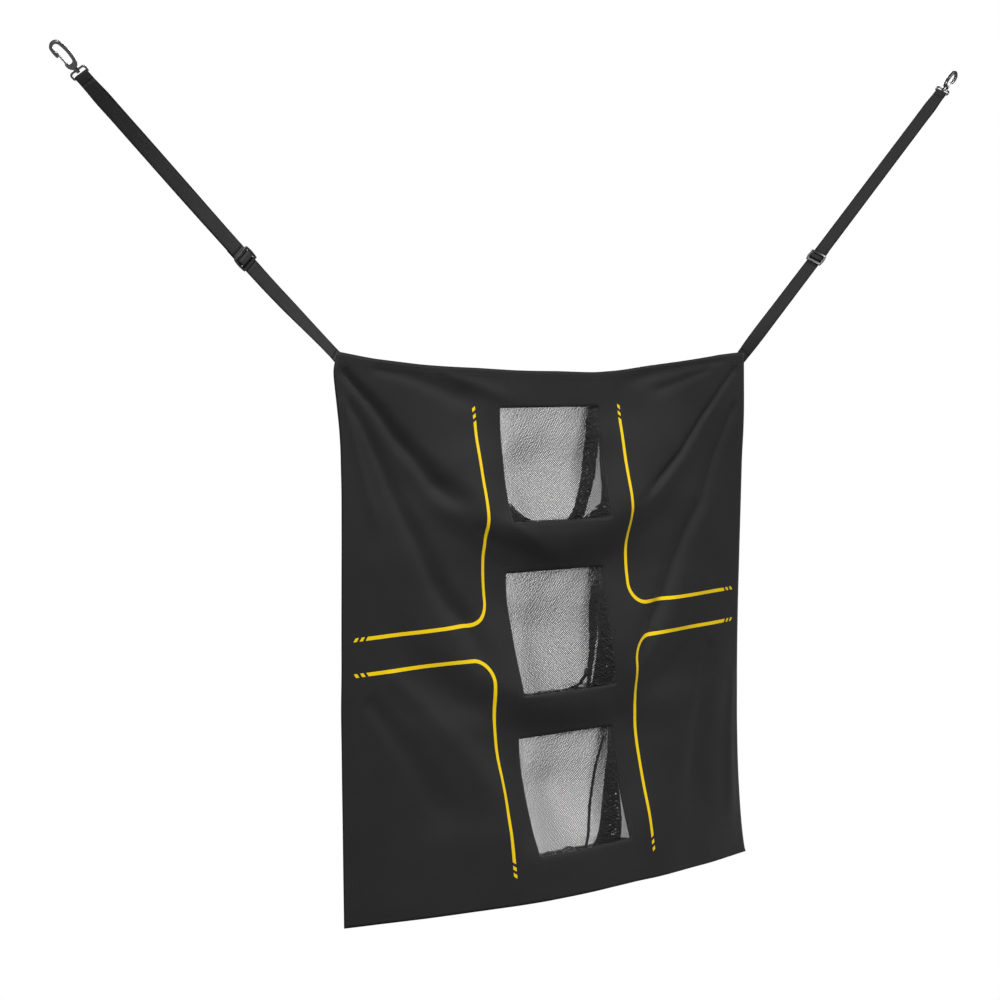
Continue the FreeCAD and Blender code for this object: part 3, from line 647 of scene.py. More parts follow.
net = {
    "behindSheet": 0.0026,
    "depth": 0.100,
    "wallPower": 3.0,
    # From the window's top edge, back into the bag and round to the bottom edge: down and back as shares
    "profile": [(0.0, 0.0), (0.06, 0.12), (0.25, 0.44), (0.5, 0.82), (0.72, 0.97), (0.95, 1.0), (1.12, 0.96)]
    + [(1.2, 0.74), (1.17, 0.34), (1.0, 0.0)],
    "samples": 400,  # along the profile and across the window
    "flange": 0.013,
    "knotPitch": 0.002,
    "wallShares": (0.3, 1.05),  # of each wall's depth in its knots' spacing; the left is seen along its face
    "backShare": 0.35,  # the same down the bag
    "unevenness": 0.28,  # of the knot pitch
    "depthUnevenness": 0.3,  # as a share of the other two ways
    "wrinkle": 0.0018,
    "wrinkleScale": 3.0,
    "wrinkleStretch": 9.0,
    "wrinkleSeed": 2.0,
    "slackDown": 14.0,  # how soon the net hangs loose from its edges
    "slackAcross": 7.0,
    "seed": 11,
    "threadRadius": {"upper": 0.00060, "middle": 0.00067, "lower": 0.00057},
    "thickness": 1.05,
    "thinning": 2.2,  # of the threads on the left wall, which is seen along its face
    "thinnest": 0.45,
    "wallThickening": 0.4,  # and more on the right wall, which is seen square on
    "wallFrom": 0.7,
    "wallBlend": 0.15,
    "topThinning": 0.17,
    "topTo": 0.34,
    "topBlend": 0.26,
    "viewSlope": 0.893,  # how far a pleat behind the window shifts from the front left, sideways and up
    "viewRise": 0.317,
    "viewLevel": 0.03,
    "layerStep": 0.0006,
    "layerTurn": 2.4,
    "pleatUnevenness": 0.75,
    "pleatScale": 1.6,  # a pleat's knots and threads are coarser than the even net's
    "pleatFullness": 1.35,
    "pleatShift": 0.4,
    "pleatOverrun": 0.03,
    "pleatLowest": 0.8,
    "gathers": {"upper": 1.045, "middle": 1.085, "lower": 1.11},  # down the bag, where it is drawn together
    "gatherHalf": 0.02,
    "gatherLayers": 3,
    "gatherRows": 5,
    "gatherScale": 40.0,
    "gatherSeed": 5.0,
}

# Each pleat: how far down the window, and where its edges lie across it in mm, as seen from the front left
pleats = {
    "upper": [
        {
            "down": [0.84, 0.907, 0.98, 1.0],
            "from": [-135] * 4,
            "to": [-116, -107.7, -86.3, -71],
            "layers": 3,
            "toWall": True,  # it starts at the bag's left wall
        },
        {
            "down": [0.0, 0.03, 0.14, 0.27, 0.41, 0.55, 0.69, 0.83, 0.93, 1.0],
            "from": [110, 97.7, 86.3, 81.7, 75.6, 67.3, 54.2, 37.7, 24.4, 9.7],
            "to": [115, 115.5, 113.6, 111.7, 105.7, 96.9, 81.5, 62.2, 50.1, 41.6],
            "layers": 3,
        },
        {
            "down": [0.0, 0.41, 0.55, 0.69, 0.83, 0.91, 0.97, 1.0],
            "from": [115.6, 115.3, 111.7, 108.1, 99.2, 80.7, 57.5, 46],
            "to": [115.9] * 8,
            "layers": 4,
        },
    ],
    "middle": [
        {
            "down": [0.8, 0.84, 0.96, 1.0],
            "from": [43.5, 40.8, 15, -15],
            "to": [44.8, 42.8, 17.4, -12],
            "layers": 3,
        },
        {
            "down": [0.0, 0.05, 0.15, 0.27, 0.4, 0.53, 0.65, 0.78, 0.91, 1.0],
            "from": [111, 107.4, 87, 75.9, 67.3, 62, 54.9, 48.8, 44.8, 40.2],
            "to": [113, 112, 101, 94, 83, 75.2, 64.6, 56, 48.5, 42],
            "layers": 4,
        },
        {
            "down": [0.0, 0.05, 0.15, 0.27, 0.4, 0.53, 0.65, 0.78, 0.91, 1.0],
            "from": [113.2, 112.2, 101.2, 94.2, 86.5, 83, 73.2, 65, 57.5, 50],
            "to": [115.9] * 10,
            "layers": 4,
        },
    ],
    "lower": [
        {
            "down": [0.06, 0.29, 0.61, 0.87, 0.98],
            "from": [95.6, 64.8, 33, 9.3, -0.5],
            "to": [96.8, 67.2, 35.6, 11.4, 0.9],
            "layers": 3,
        },
        {
            "down": [0.0, 0.03, 0.16, 0.29, 0.43, 0.56, 0.69, 0.82, 0.95, 1.0],
            "from": [113, 110, 102.8, 91.5, 80.7, 71, 58.4, 42.8, 25.4, 17.5],
            "to": [115.5, 115.8, 115.8, 115.5, 114.6, 111.6, 106.5, 95.5, 84.3, 78.7],
            "layers": 4,
        },
    ],
}

levels = ["upper", "middle", "lower"]


def smoothCurve(points, count, samples=24):
    # A smooth line through a few points, as places at even steps along it
    held = np.array(points, float)
    held = np.vstack([2.0 * held[0] - held[1], held, 2.0 * held[-1] - held[-2]])
    pieces = []
    part = np.linspace(0.0, 1.0, samples, endpoint=False)[:, None]
    for before, start, end, after in zip(held, held[1:], held[2:], held[3:]):
        bend = 2.0 * before - 5.0 * start + 4.0 * end - after
        swing = 3.0 * start - before - 3.0 * end + after
        pieces.append(0.5 * (2.0 * start + (end - before) * part + bend * part**2 + swing * part**3))
    line = np.vstack(pieces + [held[-2:-1]])
    run = np.concatenate([[0.0], np.cumsum(np.hypot(*np.diff(line, axis=0).T))])
    at = np.linspace(0.0, run[-1], count)
    return np.stack([np.interp(at, run, line[:, axis]) for axis in range(line.shape[1])], axis=-1)


def pocketPoint(index, x, place, profile):
    # The net's surface: place runs from 0 at the window's top edge to 1 at its bottom edge
    side, top, bottom = windowEdges(index)
    across = np.minimum(np.abs(x) / side, 1.0)
    room = 1.0 - across ** net["wallPower"]
    steps = np.linspace(0.0, 1.0, len(profile))
    held = np.clip(place, 0.0, 1.0)
    down = np.interp(held, steps, profile[:, 0])
    back = np.interp(held, steps, profile[:, 1])
    flatDown = np.minimum(np.interp(held, steps, np.maximum.accumulate(profile[:, 0])), 1.0)
    down = flatDown + (down - flatDown) * room
    down = np.where((place < 0.0) | (place > 1.0), place, down)
    drop = top + (bottom - top) * down
    px, py, pz = clothPoint(x, drop)
    return px, py + net["behindSheet"] + net["depth"] * room * back, pz


def makeThreadMaterial(name, tone, finish, speckScale, unevenness):
    # Thread whose tone is broken up by its fibres
    material, tree, shader = newMaterial(name, finish)
    speck = placeUse(tree, objectPlace(tree), 30.0, speckScale)["Speck"]
    connect(tree, shader.inputs["Base Color"], shaded(tree, grey(tone)[:3], uneven(speck, unevenness)))
    bumpInto(tree, shader, speck, 0.0001, 0.5)
    return material


netFinish = {"Roughness": 0.55, "Specular IOR Level": 0.4, "Sheen Weight": 0.15}
netMaterial = makeThreadMaterial("netThread", 0.010, netFinish, 1500.0, 0.8)


def finishTree(tree, made, start, end):
    real = addNode(tree, "GeometryNodeRealizeInstances", {0: made}).outputs[0]
    paint = addNode(tree, "GeometryNodeSetMaterial", {"Geometry": real, "Material": start["Material"]})
    connect(tree, end["Geometry"], paint.outputs[0])


def makeThreadTree():
    # Lays a three-sided thread along every edge of a net
    inputs = {"Geometry": "Geometry", "Thread Radius": "Float", "Material": "Material"}
    tree, start, end = newGroup("netThreads", "GeometryNodeTree", inputs, {"Geometry": "Geometry"})
    fineness = addNode(tree, "GeometryNodeInputNamedAttribute", {"Name": "fineness"}).outputs["Attribute"]
    line = addNode(tree, "GeometryNodeMeshToCurve", {0: start["Geometry"]}).outputs[0]
    circle = {"Resolution": 3, "Radius": start["Thread Radius"]}
    section = addNode(tree, "GeometryNodeCurvePrimitiveCircle", circle).outputs["Curve"]
    thread = {"Curve": line, "Scale": fineness, "Profile Curve": section}
    finishTree(tree, addNode(tree, "GeometryNodeCurveToMesh", thread).outputs[0], start, end)
    return tree


threadTree = makeThreadTree()


def bakeTree(obj, tree, values):
    # Runs a geometry tree on an object and leaves its result as the object's plain mesh
    modifier = obj.modifiers.new(tree.name, "NODES")
    modifier.node_group = tree
    identifiers = {item.name: item.identifier for item in tree.interface.items_tree if item.in_out == "INPUT"}
    for name, value in values.items():
        modifier[identifiers[name]] = value
    obj.update_tag()
    evaluated = obj.evaluated_get(bpy.context.evaluated_depsgraph_get())
    mesh = bpy.data.meshes.new_from_object(evaluated)
    obj.modifiers.remove(modifier)
    mesh.name = obj.name
    mesh.shade_smooth()
    obj.data = mesh
    print(obj.name, "faces", len(mesh.polygons))


def seenAs(x, back, side):
    # Where a point of the bag shows across its window, from the front left
    return x - net["viewSlope"] * net["depth"] * back * (1.0 - (np.abs(x) / side) ** net["wallPower"])


def knotLine(length):
    return np.linspace(0.0, length, max(2, int(length / net["knotPitch"])))


def evenKnots(samples, lengths):
    # Knots at even steps of a line's length, from its samples and the lengths between them
    run = np.concatenate([[0.0], np.cumsum(lengths)])
    return np.interp(knotLine(run[-1]), run, samples)


def threadEdges(number):
    # Every second diagonal of the numbered knots' grid, so that the threads make diamonds
    parity = np.add.outer(*(np.arange(size - 1) for size in number.shape)) % 2 == 0
    rightDown = np.stack([number[:-1, :-1], number[1:, 1:]], axis=-1)[parity]
    leftDown = np.stack([number[:-1, 1:], number[1:, :-1]], axis=-1)[~parity]
    return np.concatenate([rightDown, leftDown])


def bagKnots(profile, steps, samples, side, height):
    # Knots down the bag and across it, closer in x where its walls run back
    fall, reach = np.diff(profile, axis=0).T
    inside = evenKnots(steps, np.hypot(fall * height, net["backShare"] * reach * net["depth"]))
    room = 1.0 - (np.abs(samples) / side) ** net["wallPower"]
    wall = np.where(samples[1:] < 0.0, *net["wallShares"]) * net["depth"]
    return inside, evenKnots(samples, np.hypot(np.diff(samples), wall * np.diff(room)))


def threadSize(x, place, side, back):
    # As a share of the thread radius; back is how far back the knots lie, as a share of the depth
    atWall = smoothStep((x / side - net["wallFrom"]) / net["wallBlend"])
    atTop = smoothStep((net["topTo"] - place) / net["topBlend"])
    size = net["thickness"] + net["wallThickening"] * atWall - net["topThinning"] * atTop
    alongFace = back * (x / side) ** 2 * (x < 0.0)
    return size * np.clip(1.0 - net["thinning"] * alongFace, net["thinnest"], 1.0)


def pleatRows(fold, held, down, back, samples, side, top, height):
    # Rows of a pleat: place down the bag, and the pleat's two edges across it
    rise = net["viewRise"] * (top + height * down - net["viewLevel"]) * net["depth"] * back / height
    shown = down - rise
    chosen = (shown > fold["down"][0]) & (shown <= fold["down"][-1] + net["pleatOverrun"])
    chosen &= held < net["pleatLowest"]
    rows = []
    for rowPlace, rowBack, rowShown in zip(held[chosen], back[chosen], shown[chosen]):
        seen = seenAs(samples, rowBack, side)
        first = int(np.argmin(seen))
        ends = [np.interp(rowShown, fold["down"], fold[key]) / 1000.0 for key in ("from", "to")]
        low, high = np.interp(ends, seen[first:], samples[first:])
        rows.append((rowPlace, -side if fold.get("toWall") else low, high))
    kept = np.linspace(0, len(rows) - 1, max(3, round(len(rows) / net["pleatScale"]))).astype(int)
    return np.array(rows)[np.unique(kept)]


def makeNet(index):
    level = levels[index]
    side, top, bottom = windowEdges(index)
    height, pitch = bottom - top, net["knotPitch"]
    profile = smoothCurve(net["profile"], net["samples"])
    steps = np.linspace(0.0, 1.0, len(profile))
    samples = np.linspace(-side, side, net["samples"])
    inside, across = bagKnots(profile, steps, samples, side, height)
    edge = knotLine(net["flange"])[1:]
    columns = np.concatenate([-side - edge[::-1], across, side + edge])
    places = np.concatenate([-edge[::-1] / height, inside, 1.0 + edge / height])
    chance = np.random.default_rng(net["seed"] + index)
    points, edges, fine = [], [], []

    def addLayer(x, place, forward, unevenness=net["unevenness"], thickness=1.0):
        # x and place are grids of knots; forward lifts a pleat off the layer behind it
        slack = smoothStep(net["slackDown"] * np.minimum(place, 1.0 - place))
        slack = slack * smoothStep(net["slackAcross"] * (1.0 - np.abs(x) / side))
        px, py, pz = pocketPoint(index, x, place, profile)
        wave = noiseAt(x * net["wrinkleStretch"], place, net["wrinkleScale"], net["wrinkleSeed"] + index)
        grid = np.stack([px, py + (net["wrinkle"] * wave - forward) * slack, pz], axis=-1)
        shift = pitch * unevenness * np.array([1.0, net["depthUnevenness"], 1.0])
        grid = grid + chance.uniform(-1.0, 1.0, grid.shape) * shift
        back = np.interp(np.clip(place, 0.0, 1.0), steps, profile[:, 1])
        fine.append((thickness * threadSize(x, place, side, back)).ravel())
        number = sum(len(layer) for layer in points) + np.arange(x.size).reshape(x.shape)
        edges.append(threadEdges(number))
        points.append(grid.reshape(-1, 3))
        return number

    def addPleat(fold):
        held = inside[1:-1]
        down, back = (np.interp(held, steps, line) for line in profile.T)
        rows = pleatRows(fold, held, down, back, samples, side, top, height)
        wide = np.mean(rows[:, 2] - rows[:, 1]) * net["pleatFullness"]
        count = max(3, int(wide / (pitch * net["pleatScale"])) + 1)
        for layer in range(1, fold["layers"] + 1):
            shift = chance.uniform(-net["pleatShift"], net["pleatShift"]) / count
            share = np.clip(np.linspace(0.0, 1.0, count + layer % 3) + shift, 0.0, 1.0)
            x = rows[:, 1:2] + (rows[:, 2:3] - rows[:, 1:2]) * share
            sway = math.sin(net["layerTurn"] * layer) * 0.5 * pitch / height
            place = np.repeat(rows[:, :1], len(share), axis=1) + sway
            number = addLayer(x, place, layer * net["layerStep"], net["pleatUnevenness"], net["pleatScale"])
            edges.extend(np.stack([number[:-1, end], number[1:, end]], axis=-1) for end in (0, -1))

    def addGather():
        # Where the bag is drawn up above its seam the net lies in small waves
        half, scale = net["gatherHalf"], net["gatherScale"]
        lowest = profile[:, 0].argmax()
        ends = net["gathers"][level] + np.array([-half, half])
        low, high = np.interp(ends, profile[:lowest, 0], steps[:lowest])
        for layer in range(1, net["gatherLayers"] + 1):
            x, place = np.meshgrid(across, np.linspace(low, high, net["gatherRows"]))
            line = np.full_like(across, (net["gatherSeed"] + layer) / scale)
            wave = 0.5 * half * noiseAt(across, line, scale, index)
            addLayer(x, place + wave, layer * net["layerStep"])

    addLayer(*np.meshgrid(columns, places), 0.0)
    for fold in pleats[level]:
        addPleat(fold)
    addGather()
    mesh = bpy.data.meshes.new(level + "PocketNet")
    mesh.from_pydata(np.concatenate(points).tolist(), np.concatenate(edges).tolist(), [])
    mesh.attributes.new("fineness", "FLOAT", "POINT").data.foreach_set("value", np.concatenate(fine))
    obj = newObject(level + "PocketNet", mesh, [netMaterial])
    bakeTree(obj, threadTree, {"Thread Radius": net["threadRadius"][level], "Material": netMaterial})
    settle(obj, "target", level + "_pocket_net")


for netIndex in range(cloth["windowCount"]):
    makeNet(netIndex)
print("nets made")

# Rim tapes and corner patches

backing = {
    "thickness": 0.0008,
    "cell": 0.0055,
    "weavePitch": 0.0009,
    "tone": 0.024,
    "gapShadeTone": 0.010,
    "tapeBehind": 0.0042,
    "tapeSetback": 0.002,
    "tapeReach": 0.014,
    "patchBehind": 0.0026,
    "patchInset": 0.005,
    "patchLeg": 0.068,
    "patchWaist": 0.015,  # down to here it is as wide as at the top
    "patchFoot": 0.3,  # its width at the foot, as a share of the top's
    "patchSteps": 15,
}


def makeTapeMaterial():
    # Woven binding tape
    finish = {"Roughness": 0.58, "Sheen Weight": 0.08, "Sheen Roughness": 0.4, "Specular IOR Level": 0.3}
    material, tree, shader = newMaterial("bindingTape", finish)
    place = uvPlace(tree, "backing")
    weave = placeGroup(tree, weaveGroup, {"Place": place, "Pitch": backing["weavePitch"]})
    tone = uneven(placeUse(tree, place, 18.0, 900.0)["Speck"], 0.5)
    # Painted shade: the weave's gaps are darker between the threads
    dark = mixColour(tree, weave["Gap"], grey(backing["tone"]), grey(backing["gapShadeTone"]))
    colour = shaded(tree, dark, tone)
    connect(tree, shader.inputs["Base Color"], colour)
    bumpInto(tree, shader, weave["Height"], 0.0002, 0.7)
    return material


tapeMaterial = makeTapeMaterial()


def backPiece(name, node, x, drop, behind, flat, area=None, keep=None):
    # Tape or cloth behind the sheet, over a grid of places on it
    px, py, pz = clothPoint(x, drop)
    uvs = np.stack([x, drop], axis=-1)
    mesh = gridMesh(name, np.stack([px, py + behind, pz], axis=-1), uvs, "backing", keep)[0]
    obj = newObject(name, mesh, [tapeMaterial])
    thicken(obj, backing["thickness"])
    settle(obj, "target", node)


def makeTape(index):
    side, top, bottom = windowEdges(index)
    inner, outer = backing["tapeSetback"], backing["tapeReach"]
    columns = spread([-side - outer, -side - inner, side + inner, side + outer], backing["cell"])
    drops = spread([top - outer, top - inner, bottom + inner, bottom + outer], backing["cell"])
    middleX, middleDrop = np.meshgrid((columns[:-1] + columns[1:]) / 2.0, (drops[:-1] + drops[1:]) / 2.0)
    keep = (np.abs(middleX) > side + inner) | (middleDrop < top - inner) | (middleDrop > bottom + inner)
    strip = (outer - inner, 2.0 * (2.0 * side + bottom - top + 2.0 * (outer + inner)))
    name, node = levels[index] + "RimTape", levels[index] + "_rim_tape"
    backPiece(name, node, *np.meshgrid(columns, drops), backing["tapeBehind"], strip, keep=keep)


for tapeIndex in range(cloth["windowCount"]):
    makeTape(tapeIndex)


def makePatch(name, sign):
    # Five-sided, wider along the top edge
    leg, waist, steps = backing["patchLeg"], backing["patchWaist"], backing["patchSteps"]
    foot = backing["patchFoot"] * leg
    share, down = np.meshgrid(np.linspace(0.0, 1.0, steps), np.linspace(0.0, leg, steps))
    reach = np.interp(down, [0.0, waist, leg], [leg, leg, foot])
    x = sign * (cloth["width"] / 2.0 - backing["patchInset"] - share * reach)
    x = x[:, ::-1] if sign > 0 else x
    area = leg * waist + (leg + foot) / 2.0 * (leg - waist)
    names = (name + "CornerPatch", name + "_corner_patch")
    backPiece(*names, x, backing["patchInset"] + down, backing["patchBehind"], (leg, leg), area)


makePatch("left", -1)
makePatch("right", 1)
print("backing made")

# Stitches

stitching = {
    "pitch": 0.0042,
    "size": {"Stitch Length": 0.0032, "Stitch Width": 0.00075, "Stitch Height": 0.0005},
    "lineStep": 0.004,  # between the points of the lines that the stitches follow
    "hemInset": 0.0145,
    "rimInsets": (0.003, 0.0095),
    "above": 0.0002,
    "boxStations": (-0.052, -0.020),
    "boxHalfWidth": 0.0092,
    "tackStations": (0.0205, 0.0215, 0.0265, 0.0275),
    "tackHalfWidth": 0.0105,
    "tackSteps": 6,
}

sewingFinish = {"Roughness": 0.5, "Specular IOR Level": 0.35, "Sheen Weight": 0.1}
threadMaterial = makeThreadMaterial("sewingThread", 0.022, sewingFinish, 2500.0, 0.6)


def makeStitchTree():
    # Lays a stitch at every pitch along a line, turned to follow it
    floats = {label: "Float" for label in ("Pitch", *stitching["size"])}
    inputs = {"Geometry": "Geometry", **floats, "Material": "Material"}
    tree, start, end = newGroup("stitches", "GeometryNodeTree", inputs, {"Geometry": "Geometry"})
    line = addNode(tree, "GeometryNodeMeshToCurve", {0: start["Geometry"]}).outputs[0]
    spacing = {0: line, "Length": start["Pitch"]}
    places = addNode(tree, "GeometryNodeCurveToPoints", spacing, mode="LENGTH").outputs
    ahead = {"Vector": places["Tangent"]}
    turn = addNode(tree, "FunctionNodeAlignRotationToVector", ahead, axis="X").outputs[0]
    coarse = {"Segments": 6, "Rings": 4, "Radius": 0.5}
    ball = addNode(tree, "GeometryNodeMeshUVSphere", coarse).outputs["Mesh"]
    sizes = {axis: start[label] for axis, label in enumerate(stitching["size"])}
    size = addNode(tree, "ShaderNodeCombineXYZ", sizes).outputs[0]
    stitch = addNode(tree, "GeometryNodeTransform", {0: ball, "Scale": size}).outputs[0]
    row = {"Points": places["Points"], "Instance": stitch, "Rotation": turn}
    finishTree(tree, addNode(tree, "GeometryNodeInstanceOnPoints", row).outputs[0], start, end)
    return tree


stitchTree = makeStitchTree()


def stitchPiece(name, lines, body):
    # Each line is a list of points; closed lines repeat their first point
    vertices, edges = [], []
    for line in lines:
        first = len(vertices)
        vertices += [tuple(point) for point in line]
        edges += [(first + step, first + step + 1) for step in range(len(line) - 1)]
    mesh = bpy.data.meshes.new(name)
    mesh.from_pydata(vertices, edges, [])
    obj = newObject(name, mesh)
    bakeTree(obj, stitchTree, {"Pitch": stitching["pitch"], **stitching["size"], "Material": threadMaterial})
    settle(obj, body)
    return obj


def clothLine(corners):
    # A line over the front of the cloth through these places, across and down
    places = []
    for start, end in zip(corners, corners[1:]):
        count = max(2, int(math.dist(start, end) / stitching["lineStep"]))
        places += list(np.linspace(start, end, count, endpoint=False))
    px, py, pz = clothPoint(*np.array(places + [corners[-1]]).T)
    return np.stack([px, py - stitching["above"], pz], axis=-1)


def loopLine(left, right, top, bottom):
    return clothLine([(left, top), (right, top), (right, bottom), (left, bottom), (left, top)])


def strapBox(strap):
    # The box and cross that hold the webbing to the corner, seen on the front of the cloth
    far, near = stitching["boxStations"]
    side = stitching["boxHalfWidth"]

    def corner(station, out):
        slope = math.radians(strap["slopeDeg"])
        x = strap["side"] * (cloth["width"] / 2.0 + station * math.cos(slope) - out * math.sin(slope))
        drop = strap["drop"] - station * math.sin(slope) - out * math.cos(slope)
        return x, drop - cloth["topSag"] * (1.0 - (2.0 * x / cloth["width"]) ** 2)

    a, b, c, d = corner(far, -side), corner(near, -side), corner(near, side), corner(far, side)
    return clothLine([a, b, c, d, a, c, d, b])


def makeSheetStitches():
    half, inset = cloth["width"] / 2.0, stitching["hemInset"]
    lines = [loopLine(inset - half, half - inset, inset, cloth["height"] - inset)]
    for index in range(cloth["windowCount"]):
        side, top, bottom = windowEdges(index)
        for gap in stitching["rimInsets"]:
            lines.append(loopLine(-side - gap, side + gap, top - gap, bottom + gap))
    lines += [strapBox(strap) for strap in straps.values()]
    return stitchPiece("sheetStitches", lines, "target")


# Straps

webbing = {
    "width": 0.0254,
    "eyeWidth": 0.0224,
    "thickness": 0.0012,
    # Over the top of its section: across and up as shares of the half sizes, and a shift across in metres
    "section": [(-1.0, 0.6, 0.00035), (-1.0, 1.0, 0.0011), (-0.34, 1.0, 0.0)]
    + [(0.34, 1.0, 0.0), (1.0, 1.0, -0.0011), (1.0, 0.6, -0.00035)],
    "plane": 0.0044,
    "anchorLength": 0.058,
    "anchorOverhang": 0.008,
    "anchorTwistLength": 0.022,
    "taperLength": 0.040,
    "runHeight": -0.00235,
    "returnHeight": -0.0038,
    "tailHeight": -0.0057,
    "eyeHeight": -0.003075,
    "splitLength": 0.09,  # over which the two layers part towards the eye
    "turnRadius": 0.00285,
    "turnReach": 0.014,
    "turnStepDeg": 15,
    "passReach": 0.017,
    # Over the slider's middle bar: where the pass bends, and the wrap of the sewn end below it
    "passFoot": 0.0062,
    "passCrest": 0.0042,
    "passHeight": 0.0034,
    "wrapHalf": 0.00265,
    "wrapHeight": 0.00195,
    "tailReach": 0.030,
    "bend": 0.0013,
    "bendSteps": 6,
    "twistBlend": 0.012,
    "cornerReach": 0.2,
    "step": 0.005,
    "weavePitch": 0.0011,
    "ribPitch": 0.0014,
    "gapShadeShare": 0.42,  # of the webbing's tone, as painted shade in the gaps of the weave
    "selvedge": (0.0099, 0.0115),  # where the ribs give way to the plain edge, from the middle
}

# Each strap's webbing tone is painted light: the same webbing is lighter on the left strap and darker on the
# right, standing in for how the lamps fall on each
straps = {
    "left": {
        "side": -1,
        "drop": 0.014,
        "slopeDeg": 42.4,
        "lower": 0.241,
        "upper": 0.3985,
        "sliderTwistDeg": -7.0,
        "eyeTwistDeg": -44.0,
        "cornerShift": 0.0052,
        "paintedLightWebbingTone": 0.05,
        # Metres from the corner, and the twist there in degrees
        "lowerTwists": [(0.008, 19.0), (0.03, 20.0), (0.075, 14.0), (0.13, 2.0), (0.224, -7.0)],
    },
    "right": {
        "side": 1,
        "drop": 0.006,
        "slopeDeg": 42.6,
        "lower": 0.285,
        "upper": 0.522,
        "sliderTwistDeg": -50.0,
        "eyeTwistDeg": -50.0,
        "cornerShift": 0.0,
        "paintedLightWebbingTone": 0.022,
        "lowerTwists": [(0.008, -10.0), (0.05, -30.0), (0.13, -45.0), (0.268, -50.0)],
    },
}


def strapAxes(strap, twistDeg):
    slope, twist = math.radians(strap["slopeDeg"]), math.radians(twistDeg)
    along = Vector((strap["side"] * math.cos(slope), 0.0, math.sin(slope)))
    flatFront = Vector((0.0, -1.0, 0.0))
    flatAcross = flatFront.cross(along)
    across = flatAcross * math.cos(twist) + flatFront * math.sin(twist)
    front = flatFront * math.cos(twist) - flatAcross * math.sin(twist)
    return along, across, front


def strapOrigin(strap, station):
    along = strapAxes(strap, 0.0)[0]
    return Vector((strap["side"] * cloth["width"] / 2.0, webbing["plane"], -strap["drop"])) + along * station


def makeWebbingMaterial(name, light):
    # Ribs across the webbing, a fine weave between them and a plain edge
    finish = {"Roughness": 0.6, "Sheen Weight": 0.03, "Sheen Roughness": 0.4, "Specular IOR Level": 0.14}
    material, tree, shader = newMaterial(name, finish)
    place = uvPlace(tree, "webbing")
    across, along = acrossAndAlong(tree, place)
    weave = placeGroup(tree, weaveGroup, {"Place": place, "Pitch": webbing["weavePitch"]})
    use = placeUse(tree, place, 14.0, 1100.0)
    # Painted shade: the tone dips in the grooves between the ribs
    rib = abs((along * (math.pi / webbing["ribPitch"])).math("SINE"))
    selvedge = ramp(tree, abs(across), *webbing["selvedge"])
    tone = (rib * 0.3 + 0.7) * uneven(use["Tone"], 0.6) * uneven(use["Speck"], 0.5) * (selvedge * -0.72 + 1.0)
    dark = mixColour(tree, weave["Gap"], grey(light), grey(light * webbing["gapShadeShare"]))
    colour = shaded(tree, dark, tone)
    connect(tree, shader.inputs["Base Color"], colour)
    bumpInto(tree, shader, rib * 0.6 + weave["Height"] * 0.4, 0.0003, 0.8)
    return material


# Lit and shaded copies of one webbing, as painted light
webbingMaterials = {
    name: makeWebbingMaterial(name + "Webbing", strap["paintedLightWebbingTone"]) for name, strap in straps.items()
}


def webMesh(name, frames):
    # Frames are (centre, across, front, width, distance along); the edges are rounded and the ends closed
    over = webbing["section"]
    under = [(side, -up, inset) for side, up, inset in reversed(over)]
    section = [(-1.0, 0.0, 0.0), *over, (1.0, 0.0, 0.0), *under]
    count = len(section)
    vertices, uvs = [], []
    for centre, across, front, width, distance in frames:
        for side, up, inset in section:
            offset = side * width / 2.0 + inset
            vertices.append(tuple(centre + across * offset + front * (up * webbing["thickness"] / 2.0)))
            uvs.append((offset, distance))
    rings = np.arange(len(vertices)).reshape(-1, count)
    after = np.roll(rings, -1, axis=1)
    faces = np.stack([rings[:-1], after[:-1], after[1:], rings[1:]], axis=-1).reshape(-1, 4).tolist()
    faces += [rings[0, ::-1].tolist(), rings[-1].tolist()]
    mesh = bpy.data.meshes.new(name)
    mesh.from_pydata(vertices, [], faces)
    layer = mesh.uv_layers.new(name="webbing")
    layer.data.foreach_set("uv", [value for face in faces for corner in face for value in uvs[corner]])
    shell = bmesh.new()
    shell.from_mesh(mesh)
    bmesh.ops.recalc_face_normals(shell, faces=shell.faces)
    shell.to_mesh(mesh)
    shell.free()
    mesh.polygons.foreach_set("use_smooth", [True] * (len(faces) - 2) + [False] * 2)
    return mesh


def webPiece(side, part, frames):
    # A piece of this side's strap, named after its part
    words = part.split()
    name = side + "Strap" + "".join(word.capitalize() for word in words)
    obj = newObject(name, webMesh(name, frames), [webbingMaterials[side]])
    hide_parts("_".join([side, "strap", *words]))
    return obj


def flatHeight(station):
    return 0.0


def fullWidth(station):
    return webbing["width"]


def runFrames(strap, start, end, twistAt, heightAt=flatHeight, widthAt=fullWidth):
    # A straight run between two places along the strap
    slope = math.radians(strap["slopeDeg"])
    rise = Vector((-strap["side"] * math.sin(slope), 0.0, math.cos(slope)))
    frames = []
    for station in np.linspace(start, end, max(2, round((end - start) / webbing["step"])) + 1).tolist():
        along, across, front = strapAxes(strap, twistAt(station))
        # The pull of the corner bends the webbing up a little
        bend = strap["cornerShift"] * (1.0 - float(smoothStep(station / webbing["cornerReach"])))
        centre = strapOrigin(strap, station) + front * heightAt(station) + rise * bend
        frames.append((centre, across, front, widthAt(station), station))
    return frames


